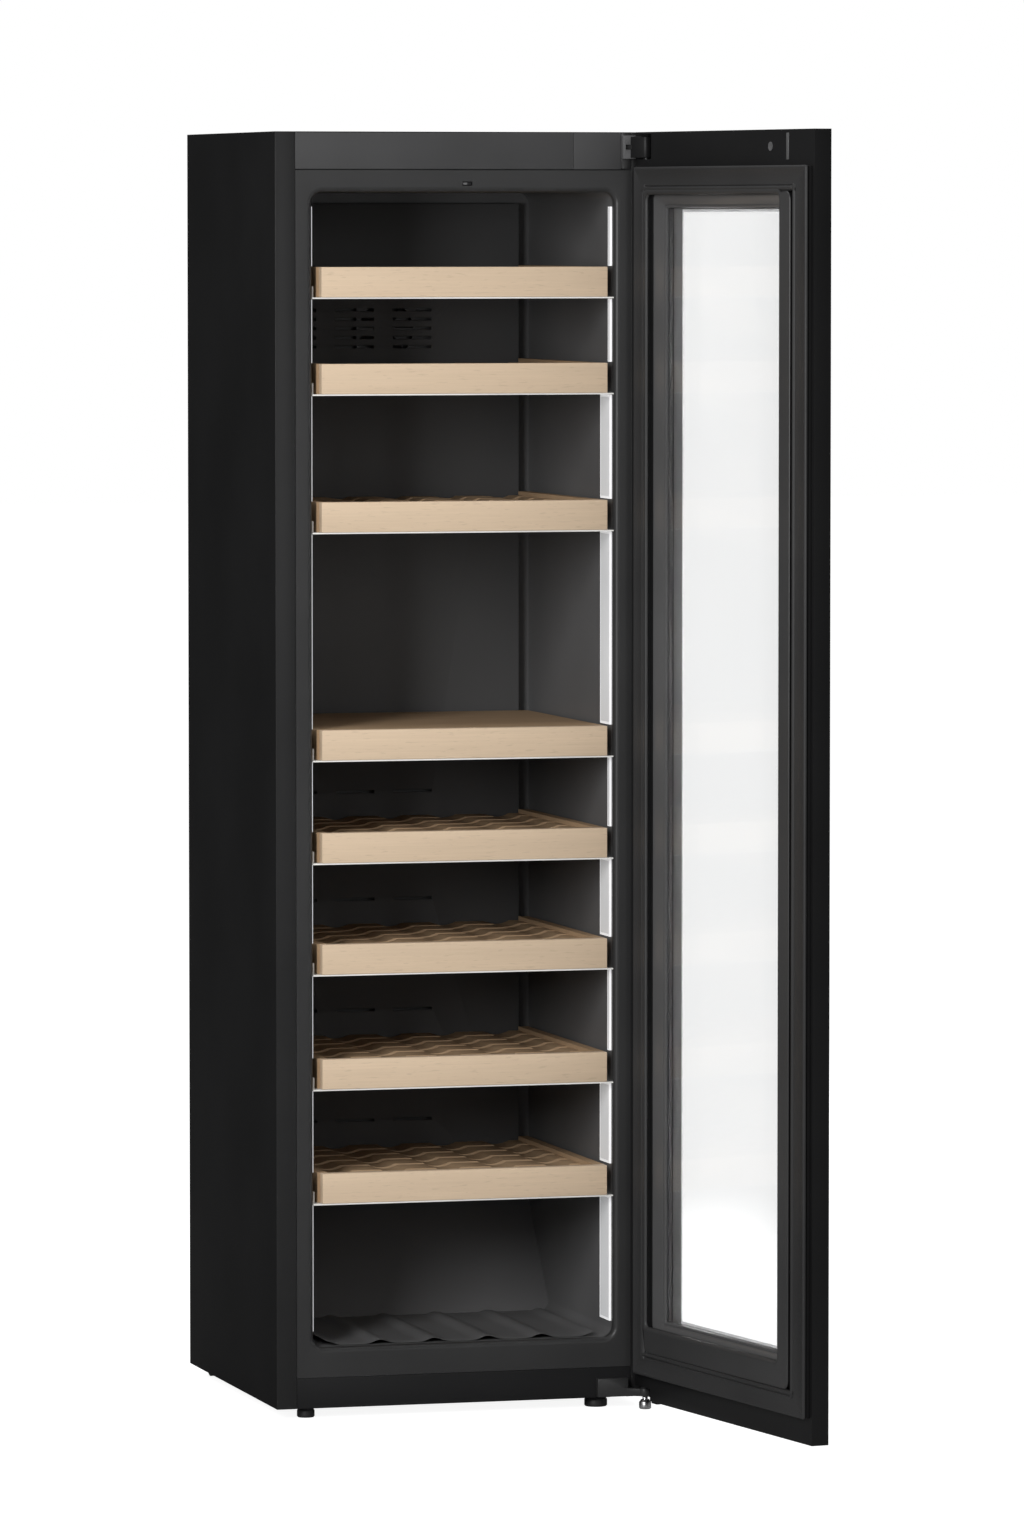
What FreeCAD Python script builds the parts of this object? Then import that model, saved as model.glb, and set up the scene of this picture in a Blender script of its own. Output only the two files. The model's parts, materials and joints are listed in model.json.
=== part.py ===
import FreeCAD, Part
import math
import os
import re
from FreeCAD import Placement, Rotation, Vector

# Tall free-standing wine cabinet with a glass door on right-hand hinges, eight
# pull-out beech shelves and a cooling machine low at the back.
# Millimetres, +Z up.  Cabinet sizes are measured from the cabinet's centre
# line (X), from the front face of its frame (Y, positive to the back) and
# from the floor (Z).  Door pieces are measured from the hinge pin, with the
# door shut: X towards the hinge side, Y into the cabinet.

doc = FreeCAD.newDocument("wine_cabinet")

SIZES = {
    # carcass
    "carcass_width": 570.0,
    "carcass_depth": 540.0,
    "carcass_top": 1884.0,
    "base_gap": 16.0,
    "sheet": 1.0,
    "front_return": 30.0,
    "seam": 0.4,
    # opening, liner and insulation
    "opening_width": 458.0,
    "opening_bottom": 105.0,
    "opening_top": 1796.0,
    "opening_corner": 16.0,
    "frame_depth": 12.0,
    "frame_edge_round": 8.0,
    "liner_wall": 2.0,
    "liner_rear": 462.0,
    "slope_foot": 340.0,
    "slope_rise": 157.0,
    "machine_front": 345.0,
    "machine_rear_top": 290.0,
    "machine_ceiling_rear": 500.0,
    # fascia and plinth
    "fascia_bottom": 1829.5,
    "fascia_split": 166.0,
    "fascia_wall": 2.5,
    "fascia_gap": 1.5,
    "hinge_side_margin": 16.0,
    "plinth_top": 61.0,
    "plinth_sheet": 2.0,
    "pan_sheet": 1.5,
    # lights and duct
    "light_depth": 50.0,
    "light_narrow": 14.0,
    "light_thick": 2.9,
    "light_front": 14.0,
    "light_bottom": 128.0,
    "light_step": 1503.0,
    "light_top": 1775.0,
    "duct_width": 416.0,
    "duct_depth": 21.8,
    "duct_bottom": 270.0,
    "duct_top": 1780.0,
    "duct_wall": 2.0,
    "fan_size": 92.0,
    "fan_depth": 14.0,
    "fan_height": 1590.0,
    "rotor_radius": 41.0,
    # shelves
    "shelf_width": 438.0,
    "board_height": 44.0,
    "board_thick": 18.0,
    "board_setback": 1.0,
    "deck_depth": 410.0,
    "deck_width": 437.6,
    "deck_height": 38.0,
    "deck_side": 15.0,
    "slat_thick": 12.0,
    "slat_width": 54.0,
    "cradle_radius": 44.0,
    "cradle_pitch": 84.0,
    "cradle_depth": 5.0,
    "runner_sheet": 2.0,
    "runner_gap": 0.2,
    "runner_web": 16.0,
    "runner_flange": 20.0,
    "runner_width": 449.0,
    # hinge
    "pin_inset": 14.0,
    "pin_radius": 4.0,
    "running_gap": 0.05,
    "eye_radius": 8.0,
    "arm_width": 12.0,
    # door
    "door_gap": 12.0,
    "pin_to_inner": 10.0,
    "door_thick": 26.5,
    "door_rim": 3.0,
    "door_wall": 4.0,
    "front_glass_thick": 4.0,
    "pane_gap": 8.0,
    "inner_glass_thick": 4.0,
    "light_margin_side": 54.0,
    "light_margin_top": 88.0,
    "light_margin_bottom": 104.0,
    "pane_clearance": 2.0,
    "spacer_width": 12.0,
    "gasket_width": 36.0,
    "gasket_free_inset": 6.0,
    "gasket_top": 1833.0,
    "gasket_bottom": 54.0,
    "gasket_gap": 0.3,
    "gasket_shadow": 4.0,
    "frame_hinge_lip": 4.0,
    "frame_free_width": 42.0,
    "frame_top_width": 5.0,
    "frame_bottom_width": 37.5,
    "frame_gap": 0.5,
    "frame_corner": 12.0,
    "bead_hinge": 30.0,
    "bead_free": 32.0,
    "bead_top": 21.0,
    "bead_bottom": 16.0,
    # feet and rollers
    "foot_radius": 13.0,
    "foot_inset": 51.0,
    "right_foot_radius": 17.0,
    "right_foot_inset": 75.0,
    "foot_setback": 30.0,
    "stud_radius": 4.0,
    "hinge_foot_radius": 9.0,
    "roller_radius": 13.0,
    "roller_width": 16.0,
    "roller_inset": 30.0,
    "roller_setback": 35.0,
    "axle_radius": 3.0,
    "cheek": 2.5,
    # cooling machine
    "compressor_radius": 52.0,
    "compressor_height": 120.0,
    "condenser_width": 160.0,
    "condenser_height": 96.0,
    "condenser_depth": 30.0,
    "fin_pitch": 10.0,
    "fin_thick": 1.0,
    "tube_radius": 3.5,
}

SHELF_TOPS = [1687.0, 1546.0, 1344.5, 1011.5, 861.0, 697.5, 529.0, 361.0]
PLAIN_SHELF = 4
DOOR_REST_ANGLE = 99.6

sheet = doc.addObject("Spreadsheet::Sheet", "Sizes")
for row, (alias, number) in enumerate(SIZES.items(), start=1):
    sheet.set(f"A{row}", alias)
    sheet.set(f"B{row}", str(number))
    sheet.setAlias(f"B{row}", alias)
doc.recompute()


def size(alias):
    """The number that the sheet holds under this alias."""
    return float(sheet.get(alias))


def formula(text):
    """An expression in which each alias is looked up in the sheet."""
    return re.sub(r"[a-z_]{4,}", lambda word: "Sizes." + word.group(), str(text))


HALF = size("carcass_width") / 2
PIN = Vector(HALF - size("pin_inset"), -(size("door_gap") + size("pin_to_inner")), 0)
DOOR_REACH = size("carcass_width") - size("pin_inset")
DOOR_TURN = Rotation(Vector(0, 0, 1), DOOR_REST_ANGLE)

# The origin is on the floor under the middle of the cabinet with its door open.
free_corner = PIN + DOOR_TURN.multVec(
    Vector(-DOOR_REACH, size("pin_to_inner") - size("door_thick"), 0)
)
inner_corner = PIN + DOOR_TURN.multVec(Vector(-DOOR_REACH, size("pin_to_inner"), 0))
SHIFT = Vector(
    -(free_corner.x - HALF) / 2,
    -(inner_corner.y + size("carcass_depth")) / 2,
    0,
)
CABINET = Placement(SHIFT, Rotation())
DOOR = Placement(SHIFT + PIN, DOOR_TURN)

nodes = []


def bind(item, **properties):
    """Bind properties of a document object to expressions over the sheet."""
    for prop, text in properties.items():
        item.setExpression(prop, formula(text))


def box(name, length, width, height, corner):
    """A block whose three sides and low corner are expressions."""
    item = doc.addObject("Part::Box", name)
    bind(item, Length=length, Width=width, Height=height)
    for axis, text in zip("xyz", corner):
        item.setExpression(f"Placement.Base.{axis}", formula(text))
    return item


def slab(name, low, high):
    """A block between two corners, given as expressions."""
    sides = [f"({b}) - ({a})" for a, b in zip(low, high)]
    return box(name, *sides, low)


def cylinder(name, radius, height, base, axis=Vector(0, 0, 1)):
    """A round bar from its base point along an axis."""
    item = doc.addObject("Part::Cylinder", name)
    bind(item, Radius=radius, Height=height)
    item.Placement = Placement(Vector(*base), Rotation(Vector(0, 0, 1), axis))
    return item


def prism(name, points, start, length):
    """A bar along X from start, with a polygon section given as (y, z) points."""
    loop = [Vector(start, y, z) for y, z in points]
    outline = doc.addObject("Part::Polygon", name + "_section")
    outline.Nodes = loop
    outline.Close = True
    item = doc.addObject("Part::Extrusion", name)
    item.Base = outline
    item.DirMode = "Custom"
    item.Dir = Vector(1, 0, 0)
    item.Solid = True
    item.LengthFwd = length
    return item


def cut(name, base, *tools):
    """The base with every tool taken away."""
    for number, tool in enumerate(tools, start=1):
        item = doc.addObject("Part::Cut", f"{name}_cut{number}")
        item.Base = base
        item.Tool = tool
        base = item
    return base


def fuse(name, *shapes):
    """Several shapes joined into one."""
    item = doc.addObject("Part::MultiFuse", name + "_join")
    item.Shapes = list(shapes)
    item.Refine = True
    return item


def round_edges(name, base, radius, wanted):
    """The base with the edges that pass the test rounded."""
    doc.recompute()
    edges = [n for n, edge in enumerate(base.Shape.Edges, start=1) if wanted(edge)]
    if not edges:
        raise RuntimeError(f"{name}: no edge to round")
    item = doc.addObject("Part::Fillet", name + "_round")
    item.Base = base
    item.Edges = [(n, radius, radius) for n in edges]
    return item


def runs_along(axis):
    """A test for straight edges along an axis."""

    def test(edge):
        if edge.Curve.TypeId != "Part::GeomLine":
            return False
        return abs(abs(edge.tangentAt(edge.FirstParameter).dot(axis)) - 1) < 1e-6

    return test


def lies_at(axis, level):
    """A test for edges that lie in a plane across an axis."""

    def test(edge):
        low = getattr(edge.BoundBox, axis + "Min")
        high = getattr(edge.BoundBox, axis + "Max")
        return abs(low - level) < 1e-3 and abs(high - level) < 1e-3

    return test


def piece(label, item, frame=CABINET):
    """Name a finished piece and stand it in its frame."""
    if item.TypeId in ("Part::Box", "Part::Cylinder"):
        doc.recompute()
        for axis in "xyz":
            item.setExpression(f"Placement.Base.{axis}", None)
    item.Placement = frame.multiply(item.Placement)
    item.Label = label
    nodes.append(item)
    return item


def sketch_body(name, role, segments):
    """A body with a closed sketch of straight lines on one of its origin planes."""
    body = doc.addObject("PartDesign::Body", name + "_body")
    sketch = body.newObject("Sketcher::SketchObject", name + "_sketch")
    plane = next(f for f in body.Origin.OriginFeatures if f.Role == role)
    sketch.AttachmentSupport = [(plane, "")]
    sketch.MapMode = "FlatFace"
    points = [Vector(a, b, 0) for a, b in segments]
    for first, second in zip(points, points[1:] + points[:1]):
        sketch.addGeometry(Part.LineSegment(first, second), False)
    return body, sketch


def turned(name, profile):
    """A body turned about the vertical axis from (radius, height) points."""
    body, sketch = sketch_body(name, "XZ_Plane", profile)
    spin = body.newObject("PartDesign::Revolution", name + "_spin")
    spin.Profile = sketch
    spin.ReferenceAxis = (sketch, ["V_Axis"])
    spin.Angle = 360.0
    return body


# ---------------------------------------------------------------- carcass

def side_panel(label, side):
    """A folded steel side: the flat wall and its return onto the front."""
    wall_low = "-carcass_width / 2" if side < 0 else "carcass_width / 2 - sheet"
    fold_low = "-carcass_width / 2" if side < 0 else "carcass_width / 2 - front_return"
    wall = box(label + "_wall", "sheet", "carcass_depth", "carcass_top - base_gap",
               (wall_low, "0", "base_gap"))
    fold = box(label + "_fold", "front_return", "sheet", "carcass_top - base_gap",
               (fold_low, "0", "base_gap"))
    piece(label, fuse(label, wall, fold))


side_panel("side_panel_left", -1)
side_panel("side_panel_right", 1)

SKIN_LOW = "-carcass_width / 2 + sheet"
SKIN_HIGH = "carcass_width / 2 - sheet"
piece("top_panel", slab("top_panel_sheet", (SKIN_LOW, "sheet", "carcass_top - sheet"),
                        (SKIN_HIGH, "carcass_depth", "carcass_top")))
piece("rear_panel", slab("rear_panel_sheet",
                         (SKIN_LOW, "carcass_depth - sheet", "machine_rear_top + seam"),
                         (SKIN_HIGH, "carcass_depth", "carcass_top - sheet")))

FOOT_X = -HALF + size("foot_inset")
RIGHT_FOOT_X = HALF - size("right_foot_inset")
FOOT_Y = size("foot_setback")
ROLLER_X = HALF - size("roller_inset")
ROLLER_Y = size("carcass_depth") - size("roller_setback")
BOSS_HEIGHT = 20.0
STUD_CLEARANCE = 0.2
PAN_TOP = size("base_gap") + size("pan_sheet")

pan = slab("pan_sheet_plate", (SKIN_LOW, "plinth_sheet + seam", "base_gap"),
           (SKIN_HIGH, "carcass_depth - 2 * sheet", "base_gap + pan_sheet"))
bosses = [cylinder(f"pan_boss{n}", "stud_radius + 4", BOSS_HEIGHT,
                   (x, FOOT_Y, size("base_gap")))
          for n, x in enumerate((FOOT_X, RIGHT_FOOT_X))]
stud_holes = [cylinder(f"pan_hole{n}", f"stud_radius + {STUD_CLEARANCE}", 60,
                       (x, FOOT_Y, 0))
              for n, x in enumerate((FOOT_X, RIGHT_FOOT_X))]
slot_half = size("roller_width") / 2 + size("cheek") + 1.5
slot_reach = size("roller_radius") + 1
roller_slots = [slab(f"pan_slot{n}", (x - slot_half, ROLLER_Y - slot_reach, 0),
                     (x + slot_half, ROLLER_Y + slot_reach, 30))
                for n, x in enumerate((-ROLLER_X, ROLLER_X))]
piece("base_pan", cut("base_pan", fuse("base_pan", pan, *bosses), *stud_holes, *roller_slots))

FRONT_LOW = "-carcass_width / 2 + front_return + seam"
FRONT_HIGH = "carcass_width / 2 - front_return - seam"
TONGUE_LOW, TONGUE_HIGH, TONGUE_THICK = 225.0, 247.0, 3.0
plinth = slab("plinth_sheet_plate", (FRONT_LOW, "0", "base_gap"),
              (FRONT_HIGH, "plinth_sheet", "plinth_top"))
tongue_slot = slab("plinth_slot", (TONGUE_LOW - 1, -1, 0),
                   (TONGUE_HIGH + 1, 5, PAN_TOP + TONGUE_THICK + 1))
piece("plinth", cut("plinth", plinth, tongue_slot))

# --------------------------------------------- liner, frame and insulation

CORNER = size("opening_corner")
ALONG_Y = runs_along(Vector(0, 1, 0))
REAR = size("liner_rear")
BOTTOM = size("opening_bottom")
SLOPE = (REAR - size("slope_foot"), size("slope_rise"))
SLOPE_LENGTH = math.hypot(*SLOPE)


def sloped_corner(name, offset):
    """The wedge that the liner's sloped rear foot takes, moved out by offset."""
    # offset is square to the slope, downwards and to the back
    foot_y = size("slope_foot") + offset * SLOPE_LENGTH / SLOPE[1]
    beyond = 100.0
    grade = SLOPE[1] / SLOPE[0]
    low_y = foot_y - beyond
    high_y = REAR + beyond
    points = [
        (low_y, BOTTOM - beyond * grade),
        (high_y, BOTTOM + (high_y - foot_y) * grade),
        (high_y, BOTTOM - beyond * grade),
    ]
    return prism(name, points, -HALF, size("carcass_width"))


def liner_block(name, wall, front, rear):
    """A round-cornered block: the liner's hollow, or its outside with a wall."""
    grow = f"{wall}"
    block = slab(name, (f"-opening_width / 2 - {grow}", front, f"opening_bottom - {grow}"),
                 (f"opening_width / 2 + {grow}", rear, f"opening_top + {grow}"))
    return round_edges(name, block, CORNER + (size(wall) if wall != "0" else 0), ALONG_Y)


hollow = cut("hollow", liner_block("hollow_block", "0", "-1", "liner_rear"),
             sloped_corner("hollow_slope", 0))
outside = cut("outside", liner_block("liner_outer", "liner_wall", "frame_depth",
                                     "liner_rear + liner_wall"),
              sloped_corner("outer_slope", size("liner_wall")))
piece("inner_liner", cut("inner_liner", outside, hollow))

frame_plate = slab("frame_plate", (FRONT_LOW, "0", "plinth_top + seam"),
                   (FRONT_HIGH, "frame_depth", "fascia_bottom - fascia_gap"))
frame_opening = liner_block("frame_opening", "0", "-1", "frame_depth + 1")
SENSOR_X, SENSOR_Z = 5.0, 1808.3
SENSOR_WIDTH, SENSOR_HEIGHT, SENSOR_DEPTH = 15.0, 6.5, 8.0
sensor_slot = box("sensor_slot", SENSOR_WIDTH, SENSOR_DEPTH + 1, SENSOR_HEIGHT,
                  (SENSOR_X - SENSOR_WIDTH / 2, -1, SENSOR_Z - SENSOR_HEIGHT / 2))
opened = cut("front_frame", frame_plate, frame_opening)
inner_reach = size("opening_width") / 2 + 1


def front_opening_edge(edge):
    """The edges of the opening in the frame's front face."""
    if not lies_at("Y", 0)(edge):
        return False
    bound = edge.BoundBox
    inside = bound.XMax < inner_reach and bound.XMin > -inner_reach
    return inside and bound.ZMin > BOTTOM - 1 and bound.ZMax < size("opening_top") + 1


eased = round_edges("front_frame", opened, size("frame_edge_round"), front_opening_edge)
piece("front_frame", cut("front_frame_slot", eased, sensor_slot))
SENSOR_EASE = 0.3
piece("door_sensor", box("sensor_block", SENSOR_WIDTH - 2 * SENSOR_EASE, SENSOR_DEPTH - 1.2,
                         SENSOR_HEIGHT - 2 * SENSOR_EASE,
                         (SENSOR_X - SENSOR_WIDTH / 2 + SENSOR_EASE, 1.2,
                          SENSOR_Z - SENSOR_HEIGHT / 2 + SENSOR_EASE)))

foam = slab("foam_block", (SKIN_LOW, "frame_depth", "plinth_top + seam"),
            (SKIN_HIGH, "carcass_depth - sheet", "carcass_top - sheet"))
foam_hollow = cut("foam_hollow", liner_block("foam_hollow_block", "liner_wall",
                                             "frame_depth - 1", "liner_rear + liner_wall"),
                  sloped_corner("foam_slope", size("liner_wall")))
PLATE_LOW, PLATE_HIGH, PLATE_HALF = 700.0, 1500.0, 170.0
plate_pocket = slab("plate_pocket", (-PLATE_HALF - 1, "liner_rear", PLATE_LOW - 1),
                    (PLATE_HALF + 1, "liner_rear + liner_wall + 3", PLATE_HIGH + 1))
machine_room = prism("machine_room", [
    (size("machine_front"), 0),
    (size("machine_front"), size("plinth_top")),
    (size("machine_ceiling_rear"), size("machine_rear_top")),
    (size("carcass_depth") + 1, size("machine_rear_top")),
    (size("carcass_depth") + 1, 0),
], -HALF, size("carcass_width"))
piece("insulation", cut("insulation", foam, foam_hollow, plate_pocket, machine_room))
evaporator = slab("evaporator_sheet", (-PLATE_HALF, "liner_rear + liner_wall", PLATE_LOW),
                  (PLATE_HALF, "liner_rear + liner_wall + 2.5", PLATE_HIGH))
piece("evaporator_plate", evaporator)

# ------------------------------------------------------------------ fascia

FASCIA_END = "carcass_width / 2 - front_return - hinge_side_margin"


def fascia_cover(label, low, high):
    """A shallow cover, open at the back, above the frame."""
    shell = slab(label + "_shell", (low, "0", "fascia_bottom"),
                 (high, "frame_depth - 0.5", "carcass_top - sheet - seam"))
    inside = slab(label + "_inside",
                  (f"{low} + fascia_wall", "fascia_wall", "fascia_bottom + fascia_wall"),
                  (f"{high} - fascia_wall", "frame_depth", "carcass_top - sheet - seam - fascia_wall"))
    piece(label, cut(label, shell, inside))


fascia_cover("control_fascia", FRONT_LOW, "fascia_split")
fascia_cover("fascia_end_cover", "fascia_split + seam", FASCIA_END)
board_plate = box("board_plate", 180, 1.6, 34, (-140, "frame_depth - 1.6", 1839))
board_chips = [box(f"board_chip{n}", 14, 2.5, 10, (-128 + 34 * n, "frame_depth - 4.1", 1848))
               for n in range(5)]
piece("control_board", fuse("control_board", board_plate, *board_chips))

# --------------------------------------------------------- lights and duct


def light_strip(name, side):
    """A lamp panel on a side wall: wide below, narrow above."""
    wall_x = size("opening_width") / 2
    low_x = wall_x - size("light_thick") if side > 0 else -wall_x
    wide = box(name + "_wide", "light_thick", "light_depth", "light_step - light_bottom",
               (low_x, "light_front", "light_bottom"))
    narrow = box(name + "_narrow", "light_thick", "light_narrow", "light_top - light_step",
                 (low_x, "light_front", "light_step"))
    return fuse(name, wide, narrow)


lamps = doc.addObject("Part::Compound", "light_panels_pair")
lamps.Links = [light_strip("lamp_left", -1), light_strip("lamp_right", 1)]
piece("light_panels", lamps)

DUCT_REAR = "liner_rear - 0.2"
duct_shell = slab("duct_shell", ("-duct_width / 2", "liner_rear - duct_depth", "duct_bottom"),
                  ("duct_width / 2", DUCT_REAR, "duct_top"))
duct_inside = slab("duct_inside",
                   ("-duct_width / 2 + duct_wall", "liner_rear - duct_depth + duct_wall",
                    "duct_bottom + duct_wall"),
                   ("duct_width / 2 - duct_wall", "liner_rear + 1", "duct_top - duct_wall"))
SLOT_WIDTH, SLOT_HEIGHT, SLOT_RISE = 60.0, 4.0, 14.0
slot_rows = [size("fan_height") + SLOT_RISE * n for n in (-2, -1, 0, 1, 2)]
slot_rows += [top + 2 * SLOT_RISE for top in SHELF_TOPS[4:]]
vents = [box(f"duct_vent{n}_{column}", SLOT_WIDTH, 10, SLOT_HEIGHT,
             (-170 + 90 * column, "liner_rear - duct_depth - 1", level))
         for n, level in enumerate(slot_rows) for column in range(3)]
piece("duct_cover", cut("duct_cover", duct_shell, duct_inside, *vents))

BLADES = 7
HUB_RADIUS = 14.0
SHAFT_RADIUS = 2.0


def fan(frame_label, rotor_label, centre):
    """An axial fan across Y: a square frame with a shaft, and its rotor."""
    x, y, z = centre
    half = size("fan_size") / 2
    along = Vector(0, 1, 0)
    body = box(frame_label + "_body", "fan_size", "fan_depth", "fan_size",
               (x - half, y, z - half))
    mouth = cylinder(frame_label + "_mouth", "rotor_radius + 1.5", 40, (x, y - 10, z), along)
    motor = cylinder(frame_label + "_motor", HUB_RADIUS, 2.5, (x, y, z), along)
    shaft = cylinder(frame_label + "_shaft", SHAFT_RADIUS, "fan_depth - 3", (x, y + 1, z), along)
    struts = [box(f"{frame_label}_strut{n}", length, 2.5, height, corner) for n, (length, height, corner)
              in enumerate([("fan_size - 2", 5, (x - half + 1, y, z - 2.5)),
                            (5, "fan_size - 2", (x - 2.5, y, z - half + 1))])]
    piece(frame_label, fuse(frame_label, cut(frame_label, body, mouth), motor, shaft, *struts))
    hub = cylinder(rotor_label + "_hub", HUB_RADIUS, 8, (x, y + 3, z), along)
    blades = []
    for n in range(BLADES):
        blade = box(f"{rotor_label}_blade{n}", "rotor_radius - 11", 1.2, 10, (0, 0, 0))
        for axis in "xyz":
            blade.setExpression(f"Placement.Base.{axis}", None)
        doc.recompute()
        pitch = Placement(Vector(10, 7, 0), Rotation(Vector(1, 0, 0), 45)).multiply(
            Placement(Vector(0, -0.6, -5), Rotation()))
        turn = Placement(Vector(x, y, z), Rotation(along, 360.0 * n / BLADES))
        blade.Placement = turn.multiply(pitch)
        blades.append(blade)
    bore = cylinder(rotor_label + "_bore", f"{SHAFT_RADIUS} + running_gap", 40, (x, y - 5, z), along)
    piece(rotor_label, cut(rotor_label, fuse(rotor_label, hub, *blades), bore))


FAN_Y = size("liner_rear") - size("duct_depth") + size("duct_wall") + 0.8
fan("fan_frame", "fan_rotor", (0.0, FAN_Y, size("fan_height")))

# ----------------------------------------------------------------- shelves

RUNNER_HALF = size("runner_width") / 2


def shelf_runner(number, level):
    """A fixed wire-thin steel frame under one shelf: a front bar and two rails."""
    name = f"runner{number}"
    low = f"{level} - runner_gap - runner_sheet"
    high = f"{level} - runner_gap"
    parts = [slab(name + "_bar", ("-opening_width / 2 + 0.5", "2", low),
                  ("opening_width / 2 - 0.5", "light_front - 2", high))]
    for side in (-1, 1):
        edge = RUNNER_HALF * side
        inward = edge - side * size("runner_flange")
        near, far = sorted((edge, inward))
        parts.append(slab(f"{name}_flange{side}", (near, "4", low), (far, "liner_rear - 30", high)))
        near, far = sorted((edge, edge - side * size("runner_sheet")))
        parts.append(slab(f"{name}_web{side}", (near, "21", low),
                          (far, "liner_rear - 30", f"{level} + runner_web")))
        near, far = sorted((edge - side, side * (size("opening_width") / 2)))
        for end, start in enumerate((100, 360)):
            parts.append(slab(f"{name}_lug{side}_{end}", (near, start, low),
                              (far, start + 30, f"{level} + runner_web")))
    return fuse(name, *parts)


def shelf(number, top):
    """A pull-out shelf: the beech front board and the slatted deck behind it."""
    level = top - size("board_height")
    board = slab(f"board{number}", ("-shelf_width / 2", "board_setback", level),
                 ("shelf_width / 2", "board_setback + board_thick", top))
    eased_board = round_edges(f"board{number}", board, 1.0, lies_at("Y", size("board_setback")))
    piece(f"shelf_{number}_board", eased_board)
    front = "board_setback + board_thick"
    name = f"deck{number}"
    rear = f"{front} + deck_depth"
    parts = [slab(name + "_left", ("-deck_width / 2", front, level),
                  ("-deck_width / 2 + deck_side", rear, f"{level} + board_height")),
             slab(name + "_right", ("deck_width / 2 - deck_side", front, level),
                  ("deck_width / 2", rear, f"{level} + board_height"))]
    if number == PLAIN_SHELF:
        parts.append(slab(name + "_plate",
                          ("-deck_width / 2", front, f"{level} + board_height - slat_thick"),
                          ("deck_width / 2", rear, f"{level} + board_height")))
        piece(f"shelf_{number}_deck", fuse(name, *parts))
        return
    slat_low = f"{level} + deck_height - slat_thick"
    inner_half = "(deck_width / 2 - deck_side)"
    slats = 6
    step = (size("deck_depth") - size("slat_width")) / (slats - 1)
    for n in range(slats):
        start = f"{front} + {step * n}"
        parts.append(slab(f"{name}_slat{n}", (f"-{inner_half}", start, slat_low),
                          (inner_half, f"{start} + slat_width", f"{level} + deck_height")))
    joined = fuse(name, *parts)
    axis_z = level + size("deck_height") - size("cradle_depth") + size("cradle_radius")
    cradles = [cylinder(f"{name}_cradle{n}", "cradle_radius", "deck_depth + 20",
                        (size("cradle_pitch") * n, 10, axis_z), Vector(0, 1, 0))
               for n in (-2, -1, 0, 1, 2)]
    piece(f"shelf_{number}_deck", cut(name, joined, *cradles))


runners = doc.addObject("Part::Compound", "shelf_runner_set")
runners.Links = [shelf_runner(n, top - size("board_height"))
                 for n, top in enumerate(SHELF_TOPS, start=1)]
piece("shelf_runners", runners)
for n, top in enumerate(SHELF_TOPS, start=1):
    shelf(n, top)

# ------------------------------------------------------------------ hinges

UPPER_ARM, LOWER_ARM = (1859.0, 1865.0), (19.0, 30.0)


def hinge_arm(name, levels, root, eye):
    """A flat arm from its root to an eye round the hinge pin."""
    low, high = levels
    reach = Vector(*root, 0) - PIN
    bar = box(name + "_bar", reach.Length, "arm_width", high - low, (0, 0, 0))
    for axis in "xyz":
        bar.setExpression(f"Placement.Base.{axis}", None)
    doc.recompute()
    turn = Rotation(Vector(1, 0, 0), reach)
    middle = Placement(Vector(0, -size("arm_width") / 2, 0), Rotation())
    bar.Placement = Placement(Vector(PIN.x, PIN.y, low), turn).multiply(middle)
    ring = cylinder(name + "_eye", eye, high - low, (PIN.x, PIN.y, low))
    return [bar, ring]


COVER_LOW = HALF - size("front_return") - size("hinge_side_margin")
COVER_HIGH = COVER_LOW + 19.0
upper_base = slab("upper_base", (COVER_LOW + 0.5, "0", "fascia_bottom + 1"),
                  ("carcass_width / 2 - front_return - seam", "frame_depth - 0.5",
                   "carcass_top - sheet - seam"))
upper_arm = hinge_arm("upper_arm", UPPER_ARM, (COVER_LOW + 5, 0.8), "eye_radius")
upper_hole = cylinder("upper_hole", "pin_radius", 40, (PIN.x, PIN.y, UPPER_ARM[0] - 10))
piece("upper_hinge_bracket", cut("upper_bracket", fuse("upper_bracket", upper_base, *upper_arm),
                                 upper_hole))
cover_shell = slab("cover_shell", (COVER_LOW, "-door_gap + 0.5", 1845), (COVER_HIGH, "-0.1", 1879))
cover_inside = slab("cover_inside", (COVER_LOW + 0.4, "-door_gap + 2.5", 1847),
                    (COVER_HIGH + 1, "1", 1877))
cover_slot = slab("cover_slot", (COVER_LOW + 4, -20, UPPER_ARM[0] - 0.5),
                  (COVER_HIGH + 1, 1, UPPER_ARM[1] + 0.5))
piece("upper_hinge_cover", cut("upper_cover", cover_shell, cover_inside, cover_slot))

lower_block = slab("lower_block", (202, "-door_gap + 0.5", LOWER_ARM[0] - 1), (248, "-0.2", 45))
tongue = slab("lower_tongue", (TONGUE_LOW, "-2", PAN_TOP), (TONGUE_HIGH, 60, PAN_TOP + TONGUE_THICK))
lower_arm = hinge_arm("lower_arm", LOWER_ARM, (240, -6), "eye_radius + 1")
lower_hole = cylinder("lower_hole", f"stud_radius + {STUD_CLEARANCE}", 40,
                      (PIN.x, PIN.y, LOWER_ARM[0] - 10))
piece("lower_hinge_bracket", cut("lower_bracket",
                                 fuse("lower_bracket", lower_block, tongue, *lower_arm),
                                 lower_hole))

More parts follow.
